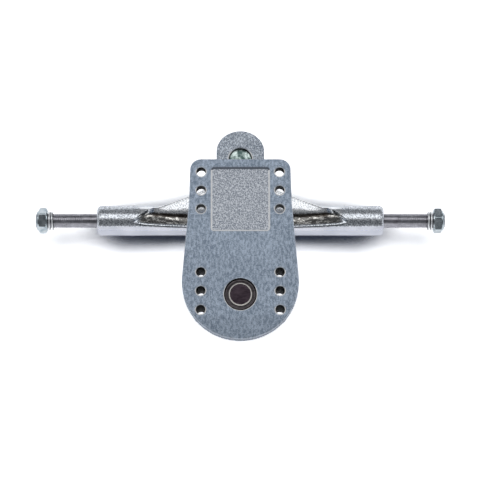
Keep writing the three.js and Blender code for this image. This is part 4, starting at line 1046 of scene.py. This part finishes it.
def lock_nut(name, across, bore, height, collar, collar_r, face):
    """A hexagonal lock nut along +Z: a bearing face, the hexagon, and a domed collar whose rim is
    crimped over the nylon ring."""
    hex_top = height - collar
    sunk, nylon_foot, lip = hex_top - 1.5, height - 2.9, collar_r - 1.4
    dome = lathe([
        [collar_r, sunk], [collar_r, hex_top + 0.35 * collar], [collar_r - 0.5, hex_top + 0.8 * collar],
        [collar_r - 1.1, height], [lip, height], [lip, sunk],
    ], 96, True, 0.2)
    hole = lathe([[bore, -OVERRUN], [bore, nylon_foot], [bore + 0.95, nylon_foot],
                  [bore + 0.95, height + OVERRUN]], edge=0.05)
    bearing = [(ADD, rod(across / 2 - 0.4, 0, face + 0.5, 96))] if face else []
    obj = new_object(name, hex_shell(across, face, hex_top, 0.75))
    carve(obj, (ADD, dome), *bearing, (CUT, hole))
    return obj


# Hanger

WEB = {"start": 60.0, "foot": 1.9, "rise": 23.8, "flare": 5.6, "edge": 1.4}
POCKET = {"fade": 7.0, "rim_start": 58 * DEG, "rim_run": 11.8, "rim_power": 1.3, "lip_start": 62 * DEG,
          "lip_turn": 26 * DEG, "far_share": 0.6}
BARREL = {"end": 8.4, "round": 2.2}
RING = {"half": 5.4, "seat_r": 12.5, "seat_half": 3.4, "hole": 7.4, "cut": 30}
AXLE_BORE = 4.17
STEM = {"root": 7.6, "neck": 4.5, "tip": 5.2}


def smooth_step(value, low, high):
    t = np.clip((value - low) / (high - low), 0, 1)
    return t * t * (3 - 2 * t)


def hanger_sections(stations, barrel_r, floor):
    """The hanger's cross-sections as (stations by points by 2), along the web and across it. Each is
    the shape of a belt round the barrel and the web's thin edge, which climbs outwards with the way
    in from the web's start and with its fourth power. Between a rim and a lip a pocket is scooped out
    along a cubic curve. The rim starts beside the lip and slides round to the web's edge."""
    x = np.abs(stations)[:, None]
    half = hanger_sizes()["half_length"]
    from_end = half - x
    radius = BARREL["end"] + (barrel_r - BARREL["end"]) * smooth_step(from_end, 0, half - WEB["start"])
    share = np.clip(1 - from_end / BARREL["round"], 0, 1)
    radius = radius - BARREL["round"] * (1 - np.sqrt(1 - share ** 2))
    way_in = np.maximum(WEB["start"] - x, 0)
    inward = way_in / WEB["start"]
    edge_r = WEB["edge"]
    reach = math.hypot(RING_AT[1] - AXLE_AT[1], RING_AT[2] - AXLE_AT[2])
    climb = WEB["foot"] + WEB["rise"] * inward + WEB["flare"] * inward ** 4
    apart = np.clip(climb, radius - edge_r + 1e-4, reach - edge_r / 2)
    lean = np.arccos(np.minimum(1, (radius - edge_r) / apart))
    tangent = np.arctan2(edge_r * np.sin(lean), apart + edge_r * np.cos(lean))
    slid = POCKET["rim_start"] * np.maximum(0, 1 - way_in / POCKET["rim_run"]) ** POCKET["rim_power"]
    rim = np.maximum(tangent, slid)
    lip = POCKET["lip_start"] + POCKET["lip_turn"] * np.sqrt(inward)
    depth = smooth_step(way_in, 0, POCKET["fade"])

    def on_belt(angle):
        size = np.abs(angle)
        side = radius / np.cos(np.clip(size - lean, -1.5, 0))
        end = apart * np.cos(size) + np.sqrt(np.maximum(0, edge_r ** 2 - (apart * np.sin(size)) ** 2))
        far = np.where(size >= lean, radius, np.where(size >= tangent, side, end))
        return np.stack([far * np.cos(angle), far * np.sin(angle)], -1)

    def between(a, b, t):
        return a + (b - a) * t[..., None]

    t = np.linspace(0, 1, 60)[None]
    barrel = on_belt(lip - TURN + t * (TURN - lean - lip))
    t = np.linspace(0, 1, 14)[None, 1:-1]
    below = between(on_belt(-lean), on_belt(-tangent), t)
    t = (1 - np.cos(np.linspace(0, math.pi, 26)[None])) / 2
    edge = on_belt(-tangent + (rim + tangent) * t)
    t = np.linspace(0, 1, 50)[None, 1:-1]
    rim_at, lip_at = on_belt(rim), on_belt(lip)
    floors = floor * np.ones_like(apart)
    near_u = lip_at[..., 0] + radius / 5
    near = np.stack([near_u, floors], -1)
    far = np.stack([np.maximum(near_u, apart * POCKET["far_share"]), floors], -1)
    a, b, c = between(rim_at, far, t), between(far, near, t), between(near, lip_at, t)
    scooped = between(between(a, b, t), between(b, c, t), t)
    plain = on_belt(rim + (lip - rim) * t)
    above = plain + (scooped - plain) * depth[..., None]
    return np.concatenate([barrel, below, edge, above], 1)


def rounded_along(sections, passes, amount=0.5):
    """Softens each section's corners: every pass moves a point part of the way to the middle of its
    two neighbours."""
    for _ in range(passes):
        mean = (np.roll(sections, 1, 1) + np.roll(sections, -1, 1)) / 2
        sections = sections + amount * (mean - sections)
    return sections


def hanger_sizes():
    """The hanger's sizes from the sidebar, in millimetres."""
    group = bpy.context.scene.truck_hanger
    return {key: getattr(group, key) / MM for key in HangerSizes.__annotations__}


def hanger_shell():
    sizes = hanger_sizes()
    half = sizes["half_length"]
    rounding = half - BARREL["round"] * (1 - np.cos(np.linspace(0, math.pi / 2, 9)))
    outer = np.linspace(half - BARREL["round"], WEB["start"], 12)[1:]
    inner = WEB["start"] * (1 - np.linspace(0, 1, 110) ** 1.25)[1:]
    right = np.concatenate([rounding, outer, inner])
    stations = np.concatenate([-right, right[:-1][::-1]])
    sections = hanger_sections(stations, sizes["barrel_radius"], sizes["pocket_floor"])
    soft = rounded_along(sections, 3)
    blend = smooth_step(WEB["start"] + 2 - np.abs(stations), 0, 6)[:, None, None]
    sections = sections + (soft - sections) * blend
    u, v = sections[..., 0], sections[..., 1]
    y = AXLE_AT[1] + u * SLOPE[0] - v * SLOPE[1]
    z = AXLE_AT[2] + u * SLOPE[1] + v * SLOPE[0]
    return ring_shell(np.stack([np.broadcast_to(stations[:, None], y.shape), y, z], -1))


def stem_shell():
    """The stem along the steering line: a round tip in the cup, a neck, and a cone into the ring."""
    length = float(np.linalg.norm(RING_AT - PIVOT_AT))
    tip = arc((0, 0), STEM["tip"], -88 * DEG, 30 * DEG, 14)
    rest = [[STEM["neck"], 4.6], [STEM["neck"], 9.0], [STEM["root"], length / 2], [STEM["root"], length]]
    return steered(lathe(np.vstack([tip, rest]), 72, edge=0.9))


def gusset_shell():
    """The rib in the middle plane: a side view with a concave front edge, carried across X."""
    axle, ring = AXLE_AT[1:], RING_AT[1:]
    stem = (PIVOT_AT + (RING_AT - PIVOT_AT) * 0.42)[1:]
    front = bezier(axle + [-5.5, 3], (stem + axle) / 2 + [4, 3], stem, 16)
    outline = np.vstack([front, ring - [0, 1], axle])
    walls = round_edge(-5.5, 5.5, 1.6, 5)
    return carried(resampled(outline[::-1], 2.5), walls).moved(ACROSS)


class TRUCK_OT_hanger(bpy.types.Operator):
    """Builds the polished hanger with its webs, pockets, ring, rib and stem"""
    bl_idname = "truck.hanger"
    bl_label = "Hanger"

    def execute(self, context):
        outer, half, seat = hanger_sizes()["ring_radius"], RING["half"], RING["seat_half"]
        obj = new_object("polished_hanger", hanger_shell())
        ring = lathe([[outer - 0.8, -half], [outer, -half + 0.8], [outer, half - 0.8],
                      [outer - 0.8, half]], 128, edge=0.5)
        upper = rod(RING["seat_r"], seat, RING["cut"], 128)
        lower = rod(RING["seat_r"], -RING["cut"], -seat, 128)
        hole = rod(RING["hole"], -seat - 1, seat + 1, 96)
        ring, upper, lower, hole = (shell.moved(shift=RING_AT) for shell in (ring, upper, lower, hole))
        bore = rod(AXLE_BORE, -100, 100).moved(turn_to((1, 0, 0)), AXLE_AT)
        carve(obj, (ADD, stem_shell()), (ADD, gusset_shell()), (ADD, ring), (CUT, upper), (CUT, lower),
              (CUT, hole), (CUT, bore))
        metal = polished_metal(context.scene.truck_colours)
        finish_piece(obj, "hanger", "polished_aluminium", metal, "hanger", crease=40)
        return {"FINISHED"}


# Axle, nuts and speed rings

THREADS_FROM = 87.0      # how far from the middle the threads start
NUT_ROLL = {"left": -12 * DEG, "right": -30.4 * DEG}
RING_TILT = {"left": 4 * DEG, "right": -1.5 * DEG}


class TRUCK_OT_axle(bpy.types.Operator):
    """Builds the threaded axle, its lock nuts with nylon rings, and the loose speed rings"""
    bl_idname = "truck.axle"
    bl_label = "Axle and nuts"

    def execute(self, context):
        sizes = context.scene.truck_axle
        radius = sizes.radius / MM
        hole = radius + 0.2
        steel = bare_steel("drawn_axle_steel", lin(128, 127, 133), lin(170, 170, 177), 0.2, 0.3)
        zinc = zinc_metal("axle_nut_zinc", lin(150, 162, 169), lin(204, 213, 218), 0.14)
        ring_zinc = speed_ring_metal()
        nylon = moulded("axle_nut_nylon", lin(150, 165, 182), lin(176, 190, 204), 0.4)
        core = rod(radius - 0.03, -THREADS_FROM - 0.5, THREADS_FROM + 0.5)
        thread = threaded_rod(radius, THREADS_FROM, box_mm("axle")[1][0], sizes.pitch / MM,
                              sizes.thread_depth / MM)
        axle = new_object("threaded_axle", core.moved(turn_to((1, 0, 0)), AXLE_AT),
                          *(thread.moved(turn_to((side, 0, 0)), AXLE_AT) for side in (-1, 1)))
        finish_piece(axle, "hanger", "axle_steel", steel, "axle", crease=60)
        for word, side in (("left", -1), ("right", 1)):
            to_side = turn_to((side, 0, 0))
            outwards = to_side @ turn_about((0, 0, 1), NUT_ROLL[word])
            low, high = box_mm(f"axle_nut_{word}")
            start = min(abs(low[0]), abs(high[0]))
            nut = lock_nut(f"{word}_lock_nut", 12.7, hole, high[0] - low[0], 1.6, 5.6, 0.5)
            place_mesh(nut, outwards, AXLE_AT + [side * start, 0, 0])
            finish_piece(nut, "hanger", "zinc_steel", zinc, f"axle_nut_{word}")
            low, high = box_mm(f"axle_nut_insert_{word}")
            collar = washer(radius + 1.05, hole, *sorted((abs(low[0]), abs(high[0]))))
            ring = new_object(f"{word}_nylon_ring", collar.moved(outwards, AXLE_AT))
            finish_piece(ring, "hanger", "nylon", nylon, f"axle_nut_insert_{word}")
            for place, tilt in (("inner", RING_TILT[word]), ("outer", 0)):
                node = f"speed_ring_{word}_{place}"
                loose = washer(5.3, radius + 0.25, -0.4, 0.4)
                loose = loose.moved(turn_about((0, 0, 1), tilt) @ to_side, middle(node))
                piece = new_object(f"{word}_{place}_speed_ring", loose)
                finish_piece(piece, "hanger", "zinc_steel", ring_zinc, node)
        return {"FINISHED"}


# Studio

# The floor in metres: its gap under the truck, then how far out it stays flat and falls away
FLOOR = {"gap": 0.0002, "flat": 0.034, "slope_end": 0.125, "drop": 0.013, "reach": 8.0}


def white_for_camera(name, colour, shown, mirrored, contact):
    """A matt surface whose colour is lifted for rays from the camera, and less for rays from a
    reflection or refraction, so that the open floor is white and keeps the truck's shadow. The
    colour is scaled by 1 + shown * camera + mirrored * the larger of glossy and transmission. Where
    the truck comes closer than `contact`, the lift fades and the colour falls to the shade's."""
    r = Recipe(name)
    rays = r.node("ShaderNodeLightPath").socket.node.outputs
    camera, glossy, through = (Value(r, rays[key]) for key in
                               ("Is Camera Ray", "Is Glossy Ray", "Is Transmission Ray"))
    openness = r.node("ShaderNodeAmbientOcclusion", {"samples": 16}, {"Distance": contact}, "AO")
    openness = openness.ramp(0.5, 0.86)
    lift = camera * shown + glossy.larger(through) * mirrored + 1
    lifted = r.node("ShaderNodeVectorMath", {"operation": "SCALE"}, {"Vector": colour, "Scale": lift})
    # Painted contact shadow: the colour falls to dark blue-grey where ambient occlusion finds the truck near.
    shaded = r.blend(openness, lin(96, 103, 120), lifted)
    matt = r.node("ShaderNodeBsdfDiffuse", inputs={"Color": shaded})
    out = r.tree.nodes["Material Output"]
    r.tree.links.new(matt.socket, out.inputs["Surface"])
    r.tree.nodes.remove(r.surface)
    return r.material


def room_light(world, top, horizon):
    """The room round the truck: white where it meets the floor, a dim wall above, darker overhead.
    Its strength goes by the height of the direction."""
    world.use_nodes = True
    tree = world.node_tree
    room = tree.nodes["Background"]
    room.inputs["Color"].default_value = (0.94, 0.96, 1.0, 1)
    kinds = ("TexCoord", "SeparateXYZ", "ValToRGB")
    where, split, ramp = (tree.nodes.new("ShaderNode" + kind) for kind in kinds)
    stops = ramp.color_ramp.elements
    levels = ((0.05, 1.0), (0.09, horizon), (0.5, horizon), (0.95, top))
    for number, (height, level) in enumerate(levels):
        stop = stops[number] if number < len(stops) else stops.new(height)
        stop.position = height
        stop.color = (level, level, level, 1)
    tree.links.new(where.outputs["Generated"], split.inputs[0])
    tree.links.new(split.outputs["Z"], ramp.inputs["Fac"])
    tree.links.new(ramp.outputs["Color"], room.inputs["Strength"])


def softbox(name, place, target, size, power):
    """A rectangular area lamp that lights the truck and shows in its reflections only."""
    data = bpy.data.lights.new(name, "AREA")
    data.shape = "RECTANGLE"
    data.size, data.size_y = size
    data.energy = power
    lamp = linked(name, data)
    lamp.location = place
    lamp.visible_camera = False
    lamp.rotation_euler = (Vector(target) - Vector(place)).to_track_quat("-Z", "Y").to_euler()


class TRUCK_OT_studio(bpy.types.Operator):
    """Sets the pale floor, which falls away to both sides so that a leaning axle clears it, the soft
    light and the camera"""
    bl_idname = "truck.studio"
    bl_label = "Studio"

    def execute(self, context):
        scene = context.scene
        studio = scene.truck_studio
        top, reach = CAD_BOX[0][2] - FLOOR["gap"], FLOOR["reach"]
        foot = top - FLOOR["drop"]
        half = [(FLOOR["flat"], top), (FLOOR["slope_end"], foot), (reach, foot)]
        line = [(-x, z) for x, z in half[::-1]] + half
        count = len(line)
        mesh = bpy.data.meshes.new("studio_floor")
        mesh.from_pydata([(x, y, z) for y in (-reach, reach) for x, z in line], [],
                         [(i, i + 1, i + 1 + count, i + count) for i in range(count - 1)])
        mesh.materials.append(white_for_camera("pale_floor", (0.91, 0.912, 0.917), 1.9, 1.2, 18 * MM))
        linked("studio_floor", mesh)
        scene.world = bpy.data.worlds.new("studio_room")
        room_light(scene.world, studio.overhead, studio.ambient)
        softbox("rear_softbox", (0, 0.5, 1.2), (0, 0, 0), (2.4, 0.75), studio.key_power)
        softbox("front_softbox", (0, -1.5, 0.43), (0, 0, 0.43), (3.0, 0.87), studio.front_power)
        for side in (-1, 1):
            softbox(f"side_softbox_{side}", (1.6 * side, 0, 0.25), (0, 0, 0.1), (1.6, 0.5), studio.side_power)
        scene.view_settings.view_transform = "Standard"
        data = bpy.data.cameras.new("photo_camera")
        data.lens = studio.lens
        data.sensor_width = 36
        data.clip_end = 50
        camera = linked("photo_camera", data)
        up, out = math.sin(studio.elevation), math.cos(studio.elevation)
        camera.location = (-0.0002, -studio.distance * out, studio.distance * up)
        camera.rotation_euler = (math.pi / 2 - studio.elevation, 0, 0)
        scene.camera = camera
        return {"FINISHED"}


OPERATORS = (
    TRUCK_OT_base_plate, TRUCK_OT_swing_pivot, TRUCK_OT_inner_parts, TRUCK_OT_swing_arm,
    TRUCK_OT_kingpin_stack, TRUCK_OT_hanger, TRUCK_OT_axle, TRUCK_OT_studio,
)


class TRUCK_PT_sidebar(bpy.types.Panel):
    """Lists the truck's sizes, colours and steps"""
    bl_idname = "TRUCK_PT_sidebar"
    bl_label = "Skateboard truck"
    bl_space_type = "VIEW_3D"
    bl_region_type = "UI"
    bl_category = "Truck"

    def draw(self, context):
        for operator in OPERATORS:
            self.layout.operator(operator.bl_idname)
        for key, group in SIZE_GROUPS.items():
            box = self.layout.box()
            for name in group.__annotations__:
                box.prop(getattr(context.scene, key), name)


def register():
    for group in SIZE_GROUPS.values():
        bpy.utils.register_class(group)
    for key, group in SIZE_GROUPS.items():
        setattr(bpy.types.Scene, key, bpy.props.PointerProperty(type=group))
    for operator in OPERATORS:
        bpy.utils.register_class(operator)
    bpy.utils.register_class(TRUCK_PT_sidebar)


def unregister():
    bpy.utils.unregister_class(TRUCK_PT_sidebar)
    for operator in reversed(OPERATORS):
        bpy.utils.unregister_class(operator)
    for key in SIZE_GROUPS:
        delattr(bpy.types.Scene, key)
    for group in SIZE_GROUPS.values():
        bpy.utils.unregister_class(group)


def main():
    register()
    for operator in OPERATORS:
        module, name = operator.bl_idname.split(".")
        getattr(getattr(bpy.ops, module), name)()


if __name__ == "__main__":
    main()
